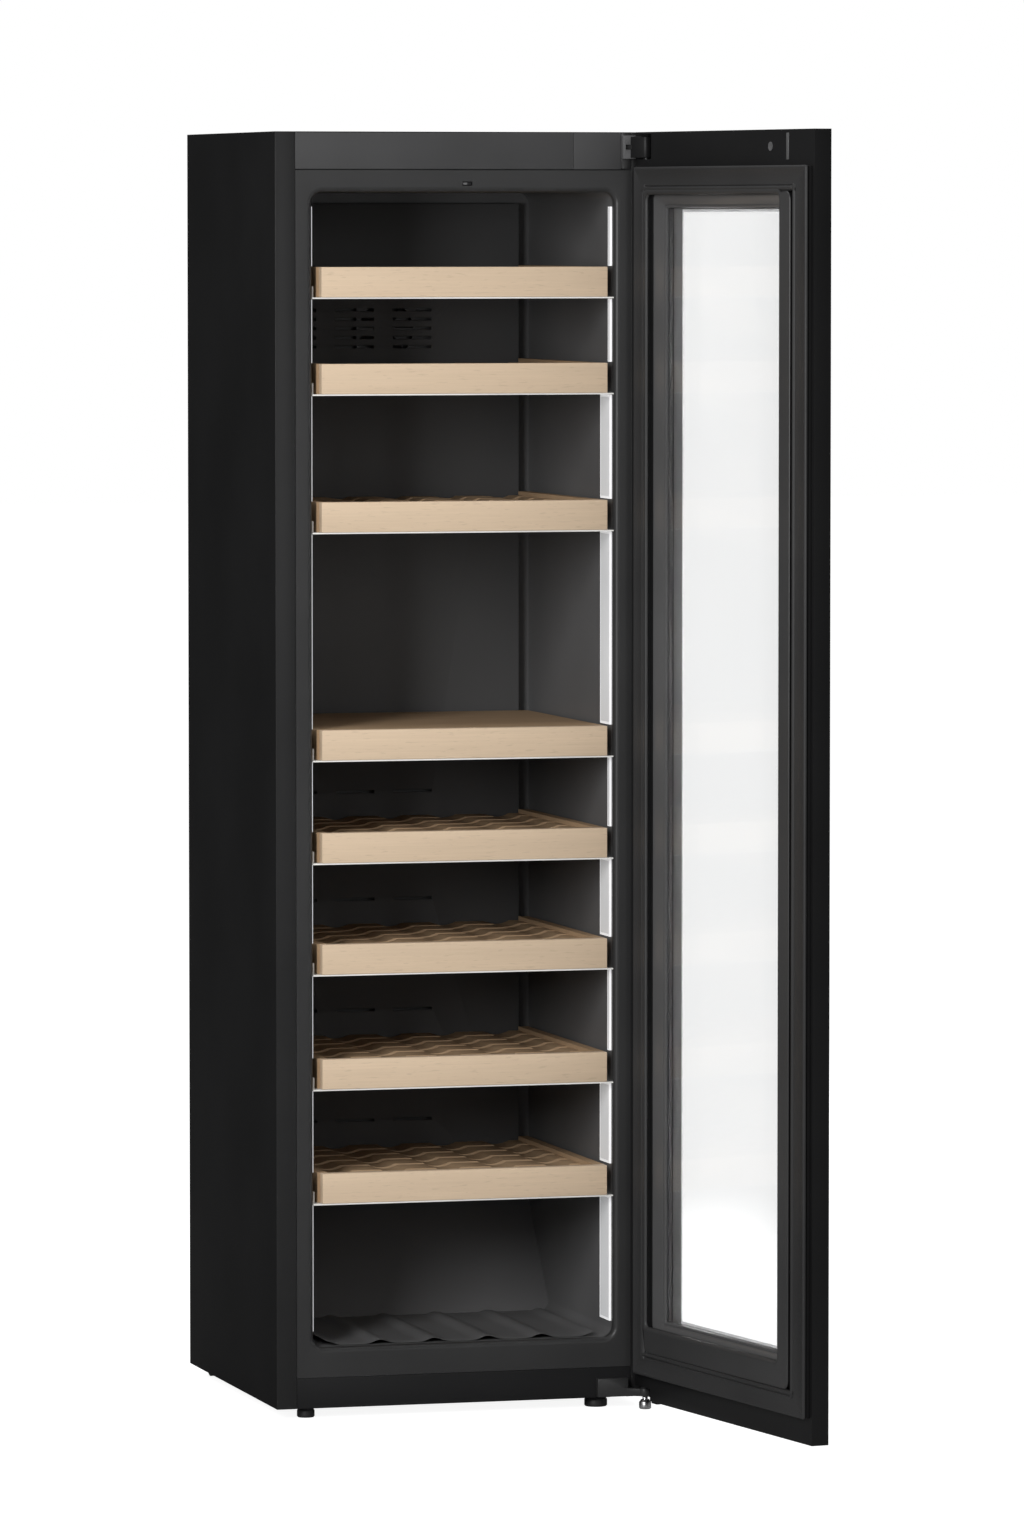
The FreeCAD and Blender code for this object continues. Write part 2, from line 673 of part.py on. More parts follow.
NOTCH_UPPER, NOTCH_LOWER = (1844.0, 1881.0), (0.0, 34.0)
upper_pin = cylinder("upper_pin", "pin_radius", 41, (PIN.x, PIN.y, 1830))
lower_pin = fuse("lower_pin",
                 cylinder("lower_pin_flange", "pin_radius + 3", 2.5, (PIN.x, PIN.y, LOWER_ARM[1])),
                 cylinder("lower_pin_shank", "pin_radius", 22, (PIN.x, PIN.y, LOWER_ARM[1])))
pins = doc.addObject("Part::Compound", "hinge_pin_pair")
pins.Links = [upper_pin, lower_pin]
piece("hinge_pins", pins)

# -------------------------------------------------------------------- door

INNER = size("pin_to_inner")
OUTER = INNER - size("door_thick")
DOOR_LOW, DOOR_HIGH = size("base_gap"), size("carcass_top")
HINGE_EDGE, FREE_EDGE = size("pin_inset"), -DOOR_REACH
GLASS_BACK = OUTER + size("front_glass_thick")
LIGHT = (FREE_EDGE + size("light_margin_side"), HINGE_EDGE - size("light_margin_side"))
LIGHT_Z = (DOOR_LOW + size("light_margin_bottom"), DOOR_HIGH - size("light_margin_top"))
PANE_BACK = GLASS_BACK + size("pane_gap") + size("inner_glass_thick")
FACE = INNER + size("door_gap") - size("gasket_gap")
NOTCH_DEPTH, NOTCH_REACH = 9.5, 36.0


def panel(name, across, through, up):
    """A block in the door's frame between pairs of limits on X, Y and Z."""
    low = [pair[0] for pair in (across, through, up)]
    high = [pair[1] for pair in (across, through, up)]
    return slab(name, low, high)


def ring(name, outer, inner, through, corner=0.0):
    """A flat frame between two rectangles, each as an X pair and a Z pair."""
    blank = panel(name + "_blank", outer[0], through, outer[1])
    hole = panel(name + "_hole", inner[0], (through[0] - 1, through[1] + 1), inner[1])
    if corner:
        hole = round_edges(name + "_hole", hole, corner, ALONG_Y)
    return cut(name + "_ring", blank, hole)


def inset(limits, amount):
    """A pair of limits drawn in from both ends."""
    return (limits[0] + amount, limits[1] - amount)


door_x, door_z = (FREE_EDGE, HINGE_EDGE), (DOOR_LOW, DOOR_HIGH)
shell = ring("shell", (door_x, door_z), (LIGHT, LIGHT_Z), (OUTER, INNER))
rim = size("door_rim")
rebate = panel("shell_rebate", inset(door_x, rim), (OUTER - 1, GLASS_BACK), inset(door_z, rim))
wall = size("door_wall")
trough_back = INNER - 2.0
troughs = [
    panel("trough_free", (FREE_EDGE + wall, LIGHT[0] - wall), (OUTER, trough_back), inset(door_z, 20)),
    panel("trough_hinge", (LIGHT[1] + wall, HINGE_EDGE - wall), (OUTER, trough_back),
          inset(door_z, 60)),
    panel("trough_top", (LIGHT[0] + wall, LIGHT[1] - wall), (OUTER, trough_back),
          (LIGHT_Z[1] + wall, DOOR_HIGH - wall)),
    panel("trough_bottom", (LIGHT[0] + wall, LIGHT[1] - wall), (OUTER, trough_back),
          (DOOR_LOW + wall, LIGHT_Z[0] - wall)),
]
notches = [panel(f"notch{n}", (-NOTCH_REACH, HINGE_EDGE + 1), (-NOTCH_DEPTH, INNER + 1), levels)
           for n, levels in enumerate((NOTCH_UPPER, NOTCH_LOWER))]
bores = [cylinder(f"door_bore{n}", "pin_radius + running_gap", height, (0, 0, low))
         for n, (low, height) in enumerate(((1829.5, 16.0), (33.0, 20.0)))]
door_shell = piece("door_shell", cut("shell", shell, rebate, *troughs, *notches, *bores), DOOR)

glass_ease = 0.3
piece("front_glass", panel("front_pane", inset(door_x, rim + glass_ease), (OUTER, GLASS_BACK),
                           inset(door_z, rim + glass_ease)), DOOR)
pane_x = inset(LIGHT, size("pane_clearance"))
pane_z = inset(LIGHT_Z, size("pane_clearance"))
spacer = size("spacer_width")
piece("glass_spacer", ring("spacer", (pane_x, pane_z), (inset(pane_x, spacer), inset(pane_z, spacer)),
                           (GLASS_BACK, GLASS_BACK + size("pane_gap"))), DOOR)
piece("inner_glass", panel("inner_pane", pane_x, (GLASS_BACK + size("pane_gap"), PANE_BACK),
                           pane_z), DOOR)

GASKET_X = (FREE_EDGE + size("gasket_free_inset"), 0.0)
GASKET_Z = (size("gasket_bottom"), size("gasket_top"))
strip = size("gasket_width")
shadow = size("gasket_shadow")
gasket_hole = (inset(GASKET_X, strip), inset(GASKET_Z, strip))
face_strip = ring("gasket_face", (GASKET_X, GASKET_Z), gasket_hole, (FACE - 6, FACE))
bellows = ring("gasket_bellows", (inset(GASKET_X, shadow), inset(GASKET_Z, shadow)), gasket_hole,
               (INNER, FACE - 6))
piece("gasket", fuse("gasket", face_strip, bellows), DOOR)

FRAME_EASE = 0.2
frame_x, frame_z = inset(gasket_hole[0], FRAME_EASE), inset(gasket_hole[1], FRAME_EASE)
VIEW_X = (gasket_hole[0][0] + size("frame_free_width"), gasket_hole[0][1] - size("frame_hinge_lip"))
VIEW_Z = (gasket_hole[1][0] + size("frame_bottom_width"), gasket_hole[1][1] - size("frame_top_width"))
FRAME_FACE = INNER + size("door_gap") - size("frame_gap")
inner_frame = ring("inner_frame", (frame_x, frame_z), (VIEW_X, VIEW_Z), (INNER, FRAME_FACE),
                   size("frame_corner"))
piece("inner_frame", inner_frame, DOOR)

BEAD_Z = (pane_z[0] + size("bead_bottom"), pane_z[1] - size("bead_top"))
BEAD_X = (pane_x[0] + size("bead_free"), pane_x[1] - size("bead_hinge"))
bead = ring("bead", (pane_x, pane_z), (BEAD_X, BEAD_Z), (PANE_BACK, INNER - 0.2))


def bead_front_edge(edge):
    """The inside edges of the bead on the side away from the glass."""
    bound = edge.BoundBox
    inside = bound.XMin > BEAD_X[0] - 1 and bound.XMax < BEAD_X[1] + 1
    return lies_at("Y", INNER - 0.2)(edge) and inside


doc.recompute()
bevel = doc.addObject("Part::Chamfer", "bead_bevel")
bevel.Base = bead
BEVEL_DEPTH, BEVEL_REACH = 8.0, 10.0
bevel.Edges = [(n, BEVEL_DEPTH, BEVEL_REACH)
               for n, edge in enumerate(bead.Shape.Edges, start=1) if bead_front_edge(edge)]
piece("glazing_bead", bevel, DOOR)

# --------------------------------------------------------- feet and rollers


def foot(label, radius, x, y, stud_top):
    """A levelling foot: a round pad with a threaded stud."""
    stud = size("stud_radius")
    profile = [(0, 0), (radius - 1.5, 0), (radius, 1.5), (radius, 10), (radius - 3, 14),
               (stud, 14), (stud, stud_top), (0, stud_top)]
    body = turned(label, profile)
    body.Placement = Placement(Vector(x, y, 0), Rotation())
    piece(label, body)


foot("foot_left", size("foot_radius"), FOOT_X, FOOT_Y, 44)
foot("foot_right", size("right_foot_radius"), RIGHT_FOOT_X, FOOT_Y, 44)
foot("hinge_foot", size("hinge_foot_radius"), PIN.x, PIN.y, LOWER_ARM[1] - 0.5)

ROLLER_Z = size("roller_radius")
ALONG_X = Vector(1, 0, 0)
bracket_parts, axle_parts = [], []
for name, x in (("left", -ROLLER_X), ("right", ROLLER_X)):
    half = size("roller_width") / 2
    wheel = cylinder(f"roller_{name}_wheel", "roller_radius", "roller_width",
                     (x - half, ROLLER_Y, ROLLER_Z), ALONG_X)
    wheel_edge = round_edges(f"roller_{name}", wheel, 1.5,
                             lambda edge: edge.Curve.TypeId == "Part::GeomCircle")
    wheel_bore = cylinder(f"roller_{name}_bore", "axle_radius + running_gap", "roller_width + 4",
                          (x - half - 2, ROLLER_Y, ROLLER_Z), ALONG_X)
    piece(f"roller_{name}", cut(f"roller_{name}", wheel_edge, wheel_bore))
    cheek_in = half + 0.5
    cheek_out = cheek_in + size("cheek")
    reach = size("roller_radius") - 1
    saddle = slab(f"bracket_{name}_saddle", (x - cheek_out, ROLLER_Y - reach, 6),
                  (x + cheek_out, ROLLER_Y + reach, 31))
    flange = slab(f"bracket_{name}_flange", (x - slot_half - 6, ROLLER_Y - slot_reach - 6, PAN_TOP),
                  (x + slot_half + 6, ROLLER_Y + slot_reach + 6, PAN_TOP + 2))
    gap = slab(f"bracket_{name}_gap", (x - cheek_in, ROLLER_Y - slot_reach, 5),
               (x + cheek_in, ROLLER_Y + slot_reach, 28.5))
    hole = cylinder(f"bracket_{name}_hole", "axle_radius", 2 * cheek_out + 4,
                    (x - cheek_out - 2, ROLLER_Y, ROLLER_Z), ALONG_X)
    bracket_parts.append(cut(f"bracket_{name}", fuse(f"bracket_{name}", saddle, flange), gap, hole))
    axle_parts.append(cylinder(f"axle_{name}", "axle_radius", 2 * cheek_out,
                               (x - cheek_out, ROLLER_Y, ROLLER_Z), ALONG_X))
brackets = doc.addObject("Part::Compound", "roller_bracket_pair")
brackets.Links = bracket_parts
piece("roller_brackets", brackets)
axles = doc.addObject("Part::Compound", "roller_axle_pair")
axles.Links = axle_parts
piece("roller_axles", axles)

# --------------------------------------------------------- cooling machine

COMPRESSOR_X, COMPRESSOR_Y = -120.0, 462.0
MOUNT_HEIGHT, PLATE_THICK = 9.0, 3.0
radius, height = size("compressor_radius"), size("compressor_height")
dome = [(0, 0), (radius - 8, 0), (radius, 8), (radius, height - 30), (radius - 8, height - 12),
        (radius - 22, height), (0, height)]
can = turned("compressor_can", dome)
PLATE_TOP = PAN_TOP + MOUNT_HEIGHT + PLATE_THICK
can.Placement = Placement(Vector(COMPRESSOR_X, COMPRESSOR_Y, PLATE_TOP - 0.5), Rotation())
MOUNT_X, MOUNT_Y = 62.0, 52.0
skid = box("compressor_skid", 2 * MOUNT_X + 24, 2 * MOUNT_Y + 20, PLATE_THICK,
           (COMPRESSOR_X - MOUNT_X - 12, COMPRESSOR_Y - MOUNT_Y - 10, PAN_TOP + MOUNT_HEIGHT))
terminal = box("compressor_terminal", 24, 44, 42, (COMPRESSOR_X + radius - 8, COMPRESSOR_Y - 22, 60))
piece("compressor", fuse("compressor", can, skid, terminal))
mounts = doc.addObject("Part::Compound", "compressor_mount_set")
mounts.Links = [cylinder(f"mount{a}{b}", 9, MOUNT_HEIGHT,
                         (COMPRESSOR_X + a * MOUNT_X, COMPRESSOR_Y + b * MOUNT_Y, PAN_TOP))
                for a in (-1, 1) for b in (-1, 1)]
piece("compressor_mounts", mounts)

CONDENSER_X, CONDENSER_Y = 20.0, 398.0
fins = int(size("condenser_width") / size("fin_pitch")) + 1
stack = [box(f"fin{n}", "fin_thick", "condenser_depth", "condenser_height",
             (f"{CONDENSER_X} + {n} * fin_pitch", CONDENSER_Y, PAN_TOP)) for n in range(fins)]
tubes = [cylinder(f"tube{a}{b}", "tube_radius", "condenser_width + 10",
                  (CONDENSER_X - 5, CONDENSER_Y + 8 + 14 * a, PAN_TOP + 14 + 22 * b), ALONG_X)
         for a in range(2) for b in range(4)]
piece("condenser", fuse("condenser", *stack, *tubes))
CONDENSER_FAN = (CONDENSER_X + size("condenser_width") / 2,
                 CONDENSER_Y + size("condenser_depth") + 4, PAN_TOP + size("fan_size") / 2)
fan("condenser_fan_frame", "condenser_fan_rotor", CONDENSER_FAN)

cover_plate = slab("machine_plate", (SKIN_LOW, "carcass_depth - 2 * sheet", "base_gap"),
                   (SKIN_HIGH, "carcass_depth", "machine_rear_top"))
INLET_LOW, INLET_HIGH = (196.0, 50.0), (236.0, 82.0)
louvres = [box(f"louvre{column}_{n}", 70, 10, 6, (-246 + 92 * column, "carcass_depth - 5", 120 + 18 * n))
           for column in range(5) for n in range(8)]
inlet_hole = slab("inlet_hole", (INLET_LOW[0] + 3, "carcass_depth - 6", INLET_LOW[1] + 3),
                  (INLET_HIGH[0] - 3, "carcass_depth + 1", INLET_HIGH[1] - 3))
piece("machine_cover", cut("machine_cover", cover_plate, inlet_hole, *louvres))
inlet_block = slab("inlet_block", (INLET_LOW[0], "carcass_depth - 2 * sheet - 22", INLET_LOW[1]),
                   (INLET_HIGH[0], "carcass_depth - 2 * sheet", INLET_HIGH[1]))
inlet_well = slab("inlet_well", (INLET_LOW[0] + 5, "carcass_depth - 2 * sheet - 18", INLET_LOW[1] + 5),
                  (INLET_HIGH[0] - 5, "carcass_depth", INLET_HIGH[1] - 5))
blades = [box(f"inlet_blade{n}", 2, 14, 6, (INLET_LOW[0] + 19 + 7 * (n - 1),
                                            "carcass_depth - 2 * sheet - 19", INLET_LOW[1] + 13))
          for n in range(3)]
piece("power_inlet", fuse("power_inlet", cut("power_inlet", inlet_block, inlet_well), *blades))

# ----------------------------------------------------------------- results

doc.recompute()
for item in doc.Objects:
    if "Invalid" in item.State or "Error" in item.State:
        raise RuntimeError(f"{item.Name} ({item.Label}) did not build: {item.State}")
labels = [item.Label for item in nodes]
if len(set(labels)) != len(labels):
    raise RuntimeError("two pieces share a label")
for item in nodes:
    if item.Shape.isNull() or not item.Shape.isValid():
        raise RuntimeError(f"{item.Label} has no valid shape")
os.makedirs("parts", exist_ok=True)
for item in nodes:
    item.Shape.exportStep(f"parts/{item.Label}.step")
print(len(nodes), "pieces written")
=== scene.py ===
"""Looks of the tall wine cabinet: finishes, softened casings, shelves, door and studio."""

import json
import logging
import math
from dataclasses import dataclass, field
from enum import Enum
from typing import Callable, Sequence

import bpy
from mathutils import Matrix, Vector


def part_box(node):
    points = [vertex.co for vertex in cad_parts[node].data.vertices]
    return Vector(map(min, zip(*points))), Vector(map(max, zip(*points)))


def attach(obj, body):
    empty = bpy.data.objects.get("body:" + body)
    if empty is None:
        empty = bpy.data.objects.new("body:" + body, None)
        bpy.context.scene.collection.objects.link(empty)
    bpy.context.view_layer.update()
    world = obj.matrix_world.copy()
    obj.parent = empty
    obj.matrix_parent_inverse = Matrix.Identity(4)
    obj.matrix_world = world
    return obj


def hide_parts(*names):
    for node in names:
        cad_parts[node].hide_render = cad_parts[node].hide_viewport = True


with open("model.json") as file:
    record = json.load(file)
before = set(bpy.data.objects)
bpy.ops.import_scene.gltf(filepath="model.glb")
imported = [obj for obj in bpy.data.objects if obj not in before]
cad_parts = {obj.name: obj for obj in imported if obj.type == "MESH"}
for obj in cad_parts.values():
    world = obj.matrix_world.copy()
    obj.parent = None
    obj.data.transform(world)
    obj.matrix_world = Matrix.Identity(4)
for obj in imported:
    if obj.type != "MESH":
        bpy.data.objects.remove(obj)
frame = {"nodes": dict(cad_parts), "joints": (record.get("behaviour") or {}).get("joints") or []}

LOG = logging.getLogger("wine_cabinet")
JOINTS = {joint["name"]: joint for joint in frame["joints"]}

Colour = tuple[float, float, float]
Corners = tuple[Vector, Vector]


class Body(Enum):
    """The bodies that new pieces ride on."""

    CABINET = "cabinet"
    DOOR = "door"


# ------------------------------------------------------------------ finishes


class SharedEffect:
    """A node group of surface effects that several finishes use."""

    name = ""
    inputs: tuple[tuple[str, float], ...] = ()
    outputs: tuple[str, ...] = ()

    def group(self) -> bpy.types.NodeTree:
        """Give the group, building it the first time.

        Returns:
            The node group with its sockets.
        """
        if self.name in bpy.data.node_groups:
            return bpy.data.node_groups[self.name]
        tree = bpy.data.node_groups.new(self.name, "ShaderNodeTree")
        for label, value in self.inputs:
            socket = tree.interface.new_socket(label, in_out="INPUT", socket_type="NodeSocketFloat")
            socket.default_value = value
        for label in self.outputs:
            tree.interface.new_socket(label, in_out="OUTPUT", socket_type="NodeSocketFloat")
        self.fill(tree, tree.nodes.new("NodeGroupInput"), tree.nodes.new("NodeGroupOutput"))
        return tree

    def fill(self, tree: bpy.types.NodeTree, given: bpy.types.Node, result: bpy.types.Node) -> None:
        """Lay the group's nodes between its input and output nodes.

        Args:
            tree: The group's tree.
            given: Its input node.
            result: Its output node.
        """
        raise NotImplementedError


class Speckle(SharedEffect):
    """Fine moulded or sprayed texture, with broad soft patches over it."""

    name = "speckle"
    inputs = (("Fine Scale", 900.0), ("Patch Scale", 6.0))
    outputs = ("Fine", "Patches")

    def fill(self, tree: bpy.types.NodeTree, given: bpy.types.Node, result: bpy.types.Node) -> None:
        """Lay two noises at the two scales."""
        place = tree.nodes.new("ShaderNodeTexCoord")
        for source, detail, output in (("Fine Scale", 3.0, "Fine"), ("Patch Scale", 2.0, "Patches")):
            noise = tree.nodes.new("ShaderNodeTexNoise")
            noise.inputs["Detail"].default_value = detail
            tree.links.new(place.outputs["Object"], noise.inputs["Vector"])
            tree.links.new(given.outputs[source], noise.inputs["Scale"])
            tree.links.new(noise.outputs["Fac"], result.inputs[output])


class Grain(SharedEffect):
    """Straight beech grain along X: long bands, fine lines and short dark flecks."""

    name = "beech_grain"
    inputs = (("Band Scale", 26.0), ("Fleck Scale", 420.0))
    outputs = ("Bands", "Lines", "Flecks")

    def fill(self, tree: bpy.types.NodeTree, given: bpy.types.Node, result: bpy.types.Node) -> None:
        """Lay noises that are stretched along the board."""
        place = tree.nodes.new("ShaderNodeTexCoord")
        stretches = {
            "Bands": ((0.06, 1.0, 1.0), "Band Scale", 4.0),
            "Lines": ((0.02, 1.0, 1.0), "Fleck Scale", 2.0),
            "Flecks": ((0.12, 1.0, 1.0), "Fleck Scale", 1.0),
        }
        for output, (stretch, source, detail) in stretches.items():
            mapping = tree.nodes.new("ShaderNodeMapping")
            mapping.inputs["Scale"].default_value = stretch
            noise = tree.nodes.new("ShaderNodeTexNoise")
            noise.inputs["Detail"].default_value = detail
            noise.inputs["Distortion"].default_value = 0.3
            tree.links.new(place.outputs["Object"], mapping.inputs["Vector"])
            tree.links.new(mapping.outputs["Vector"], noise.inputs["Vector"])
            tree.links.new(given.outputs[source], noise.inputs["Scale"])
            tree.links.new(noise.outputs["Fac"], result.inputs[output])


class Recipe:
    """One material's node tree and the short ways to fill it."""

    def __init__(self, name: str) -> None:
        """Make an empty material with a Principled shader."""
        self.material = bpy.data.materials.new(name)
        self.material.use_nodes = True
        self.tree = self.material.node_tree
        self.shader = self.tree.nodes["Principled BSDF"]

    def node(self, kind: str, **settings: object) -> bpy.types.Node:
        """Add a node and set its properties.

        Args:
            kind: The node's type name.
            settings: Properties to set on it.

        Returns:
            The new node.
        """
        made = self.tree.nodes.new(kind)
        for key, value in settings.items():
            setattr(made, key, value)
        return made

    def effect(self, effect: SharedEffect, **values: float) -> bpy.types.Node:
        """Place a shared effect with its own values.

        Args:
            effect: The effect to place.
            values: Input values, with spaces in names written as underscores.

        Returns:
            The group node.
        """
        made = self.node("ShaderNodeGroup")
        made.node_tree = effect.group()
        for key, value in values.items():
            made.inputs[key.replace("_", " ")].default_value = value
        return made

    def put(self, **values: object) -> None:
        """Set plain values on the shader's sockets, underscores for spaces."""
        for key, value in values.items():
            self.shader.inputs[key.replace("_", " ")].default_value = value

    def link(self, output: bpy.types.NodeSocket, socket: bpy.types.NodeSocket) -> None:
        """Join two sockets."""
        self.tree.links.new(output, socket)

    def spread(self, source: bpy.types.NodeSocket, low: float, high: float) -> bpy.types.NodeSocket:
        """Map a noise's middle stretch onto a range.

        Args:
            source: The noise's value.
            low: The result at the dark end.
            high: The result at the light end.

        Returns:
            The mapped value.
        """
        span = self.node("ShaderNodeMapRange")
        span.inputs["From Min"].default_value = 0.3
        span.inputs["From Max"].default_value = 0.7
        span.inputs["To Min"].default_value = low
        span.inputs["To Max"].default_value = high
        self.link(source, span.inputs["Value"])
        return span.outputs["Result"]

    def blend(self, factor: bpy.types.NodeSocket, low: Colour | bpy.types.NodeSocket,
              high: Colour) -> bpy.types.NodeSocket:
        """Mix two colours by a factor.

        Args:
            factor: The mixing value.
            low: The colour at nought, plain or from another node.
            high: The colour at one.

        Returns:
            The mixed colour.
        """
        mix = self.node("ShaderNodeMix", data_type="RGBA")
        self.link(factor, mix.inputs["Factor"])
        if isinstance(low, bpy.types.NodeSocket):
            self.link(low, mix.inputs[6])
        else:
            mix.inputs[6].default_value = (*low, 1.0)
        mix.inputs[7].default_value = (*high, 1.0)
        return mix.outputs[2]

    def bump(self, height: bpy.types.NodeSocket, strength: float, depth: float) -> None:
        """Raise the surface by a height value.

        Args:
            height: The value that raises it.
            strength: How strongly it shows.
            depth: The real height in metres.
        """
        raised = self.node("ShaderNodeBump")
        raised.inputs["Strength"].default_value = strength
        raised.inputs["Distance"].default_value = depth
        self.link(height, raised.inputs["Height"])
        self.link(raised.outputs["Normal"], self.shader.inputs["Normal"])


def shade(colour: Colour, amount: float) -> Colour:
    """A colour made lighter or darker by a factor."""
    return tuple(min(1.0, part * amount) for part in colour)


@dataclass(frozen=True)
class Finish:
    """A sprayed, moulded or plated finish."""

    name: str
    colour: Colour
    roughness: float
    specular: float = 0.5
    metallic: float = 0.0
    coat: float = 0.0
    fine_scale: float = 900.0
    patch_scale: float = 5.0
    texture_depth: float = 0.00012
    texture_strength: float = 0.25
    unevenness: float = 0.12

    def material(self) -> bpy.types.Material:
        """Give this finish's material, mixing it the first time."""
        label = f"{self.name}_finish"
        if label in bpy.data.materials:
            return bpy.data.materials[label]
        recipe = Recipe(label)
        self.mix(recipe)
        return recipe.material

    def mix(self, recipe: Recipe) -> None:
        """Fill the material's nodes.

        Args:
            recipe: The material being made.
        """
        recipe.put(Metallic=self.metallic, Specular_IOR_Level=self.specular, Coat_Weight=self.coat)
        texture = recipe.effect(Speckle(), Fine_Scale=self.fine_scale, Patch_Scale=self.patch_scale)
        patches = recipe.spread(texture.outputs["Patches"], 0.0, 1.0)
        low = shade(self.colour, 1.0 - self.unevenness)
        high = shade(self.colour, 1.0 + self.unevenness)
        recipe.link(recipe.blend(patches, low, high), recipe.shader.inputs["Base Color"])
        rough = recipe.spread(texture.outputs["Fine"], self.roughness * 0.92, min(1.0, self.roughness * 1.08))
        recipe.link(rough, recipe.shader.inputs["Roughness"])
        recipe.bump(texture.outputs["Fine"], self.texture_strength, self.texture_depth)


@dataclass(frozen=True)
class Beech(Finish):
    """Oiled beech with straight grain along X."""

    dark: Colour = (0.50, 0.37, 0.25)

    def mix(self, recipe: Recipe) -> None:
        """Fill the nodes with grain bands, fine lines and flecks."""
        recipe.put(Specular_IOR_Level=self.specular)
        grain = recipe.effect(Grain())
        bands = recipe.spread(grain.outputs["Bands"], 0.0, 1.0)
        banded = recipe.blend(bands, shade(self.colour, 0.93), shade(self.colour, 1.05))
        lined = recipe.blend(recipe.spread(grain.outputs["Lines"], 0.0, 0.22), banded, self.dark)
        flecks = recipe.node("ShaderNodeMapRange")
        flecks.inputs["From Min"].default_value = 0.62
        flecks.inputs["From Max"].default_value = 0.72
        flecks.inputs["To Max"].default_value = 0.25
        recipe.link(grain.outputs["Flecks"], flecks.inputs["Value"])
        flecked = recipe.blend(flecks.outputs["Result"], lined, shade(self.dark, 0.7))
        recipe.link(flecked, recipe.shader.inputs["Base Color"])
        rough = recipe.spread(grain.outputs["Lines"], self.roughness, self.roughness + 0.1)
        recipe.link(rough, recipe.shader.inputs["Roughness"])
        recipe.bump(grain.outputs["Lines"], self.texture_strength, self.texture_depth)


@dataclass(frozen=True)
class Glass(Finish):
    """Clear coated glass with a faint tint and a trace of haze."""

    index: float = 1.12

    def mix(self, recipe: Recipe) -> None:
        """Fill the nodes with a clear body and barely uneven polish."""
        recipe.put(Transmission_Weight=1.0, IOR=self.index, Metallic=0.0)
        texture = recipe.effect(Speckle(), Fine_Scale=self.fine_scale, Patch_Scale=self.patch_scale)
        patches = recipe.spread(texture.outputs["Patches"], 0.0, 1.0)
        tint = recipe.blend(patches, shade(self.colour, 0.995), self.colour)
        recipe.link(tint, recipe.shader.inputs["Base Color"])
        haze = recipe.spread(texture.outputs["Patches"], 0.0, self.roughness)
        recipe.link(haze, recipe.shader.inputs["Roughness"])


@dataclass(frozen=True)
class Lamp(Finish):
    """A milky diffuser with light behind it."""

    glow: float = 0.3

    def mix(self, recipe: Recipe) -> None:
        """Fill the nodes as a soft plastic that also gives light."""
        super().mix(recipe)
        texture = recipe.effect(Speckle(), Fine_Scale=self.fine_scale, Patch_Scale=self.patch_scale)
        patches = recipe.spread(texture.outputs["Patches"], 0.0, 1.0)
        light = recipe.blend(patches, (0.94, 0.95, 0.97), (1.0, 1.0, 1.0))
        recipe.link(light, recipe.shader.inputs["Emission Color"])
        recipe.put(Emission_Strength=self.glow)


PAINT = Finish("black_side_paint", (0.011, 0.011, 0.0113), 0.7, specular=0.03, texture_strength=0.3)
# The side paint again for the folded return: its glossier coat is real, its lighter colour is a painted
# highlight for the front light the return catches.
LIT_EDGE_PAINT = Finish("folded_edge_lit_paint", (0.013, 0.013, 0.0133), 0.36, specular=0.3, texture_strength=0.3)
FRAME_PLASTIC = Finish("frame_plastic", (0.029, 0.029, 0.0294), 0.36, specular=0.3)
FASCIA_PLASTIC = Finish("fascia_plastic", (0.056, 0.056, 0.057), 0.45, specular=0.16)
PLINTH_PLASTIC = Finish("plinth_plastic", (0.014, 0.014, 0.0145), 0.55, specular=0.1)
DUCT_PLASTIC = Finish("duct_plastic", (0.085, 0.085, 0.0865), 0.42, specular=0.2, patch_scale=3.0)
# The liner's own grey, set lighter than the duct cover's as painted light for the brighter side walls.
LIGHTENED_LINER_PLASTIC = Finish("liner_plastic", (0.12, 0.12, 0.122), 0.36, specular=0.3, patch_scale=3.0)
DOOR_PLASTIC = Finish("door_casing_plastic", (0.008, 0.008, 0.0083), 0.42, specular=0.17)
DOOR_FRAME_PLASTIC = Finish("door_frame_plastic", (0.036, 0.036, 0.0365), 0.4, specular=0.26)
BEAD_PLASTIC = Finish("glazing_bead_plastic", (0.078, 0.078, 0.079), 0.3, specular=0.4)
GASKET_RUBBER = Finish("gasket_rubber", (0.030, 0.030, 0.0305), 0.5, specular=0.2, fine_scale=500.0)
HINGE_PLASTIC = Finish("hinge_cover_plastic", (0.085, 0.085, 0.087), 0.45, specular=0.3)
FOOT_PLASTIC = Finish("foot_plastic", (0.02, 0.02, 0.021), 0.5, specular=0.4)
PRINT = Finish("ceramic_print", (0.014, 0.014, 0.015), 0.3, specular=0.4, texture_strength=0.05)
PRINT_INSIDE = Finish("ceramic_print_inside", (0.13, 0.13, 0.131), 0.4, specular=0.3, texture_strength=0.05)
SPACER_BAR = Finish("spacer_bar", (0.11, 0.11, 0.112), 0.4, specular=0.3, texture_strength=0.1)
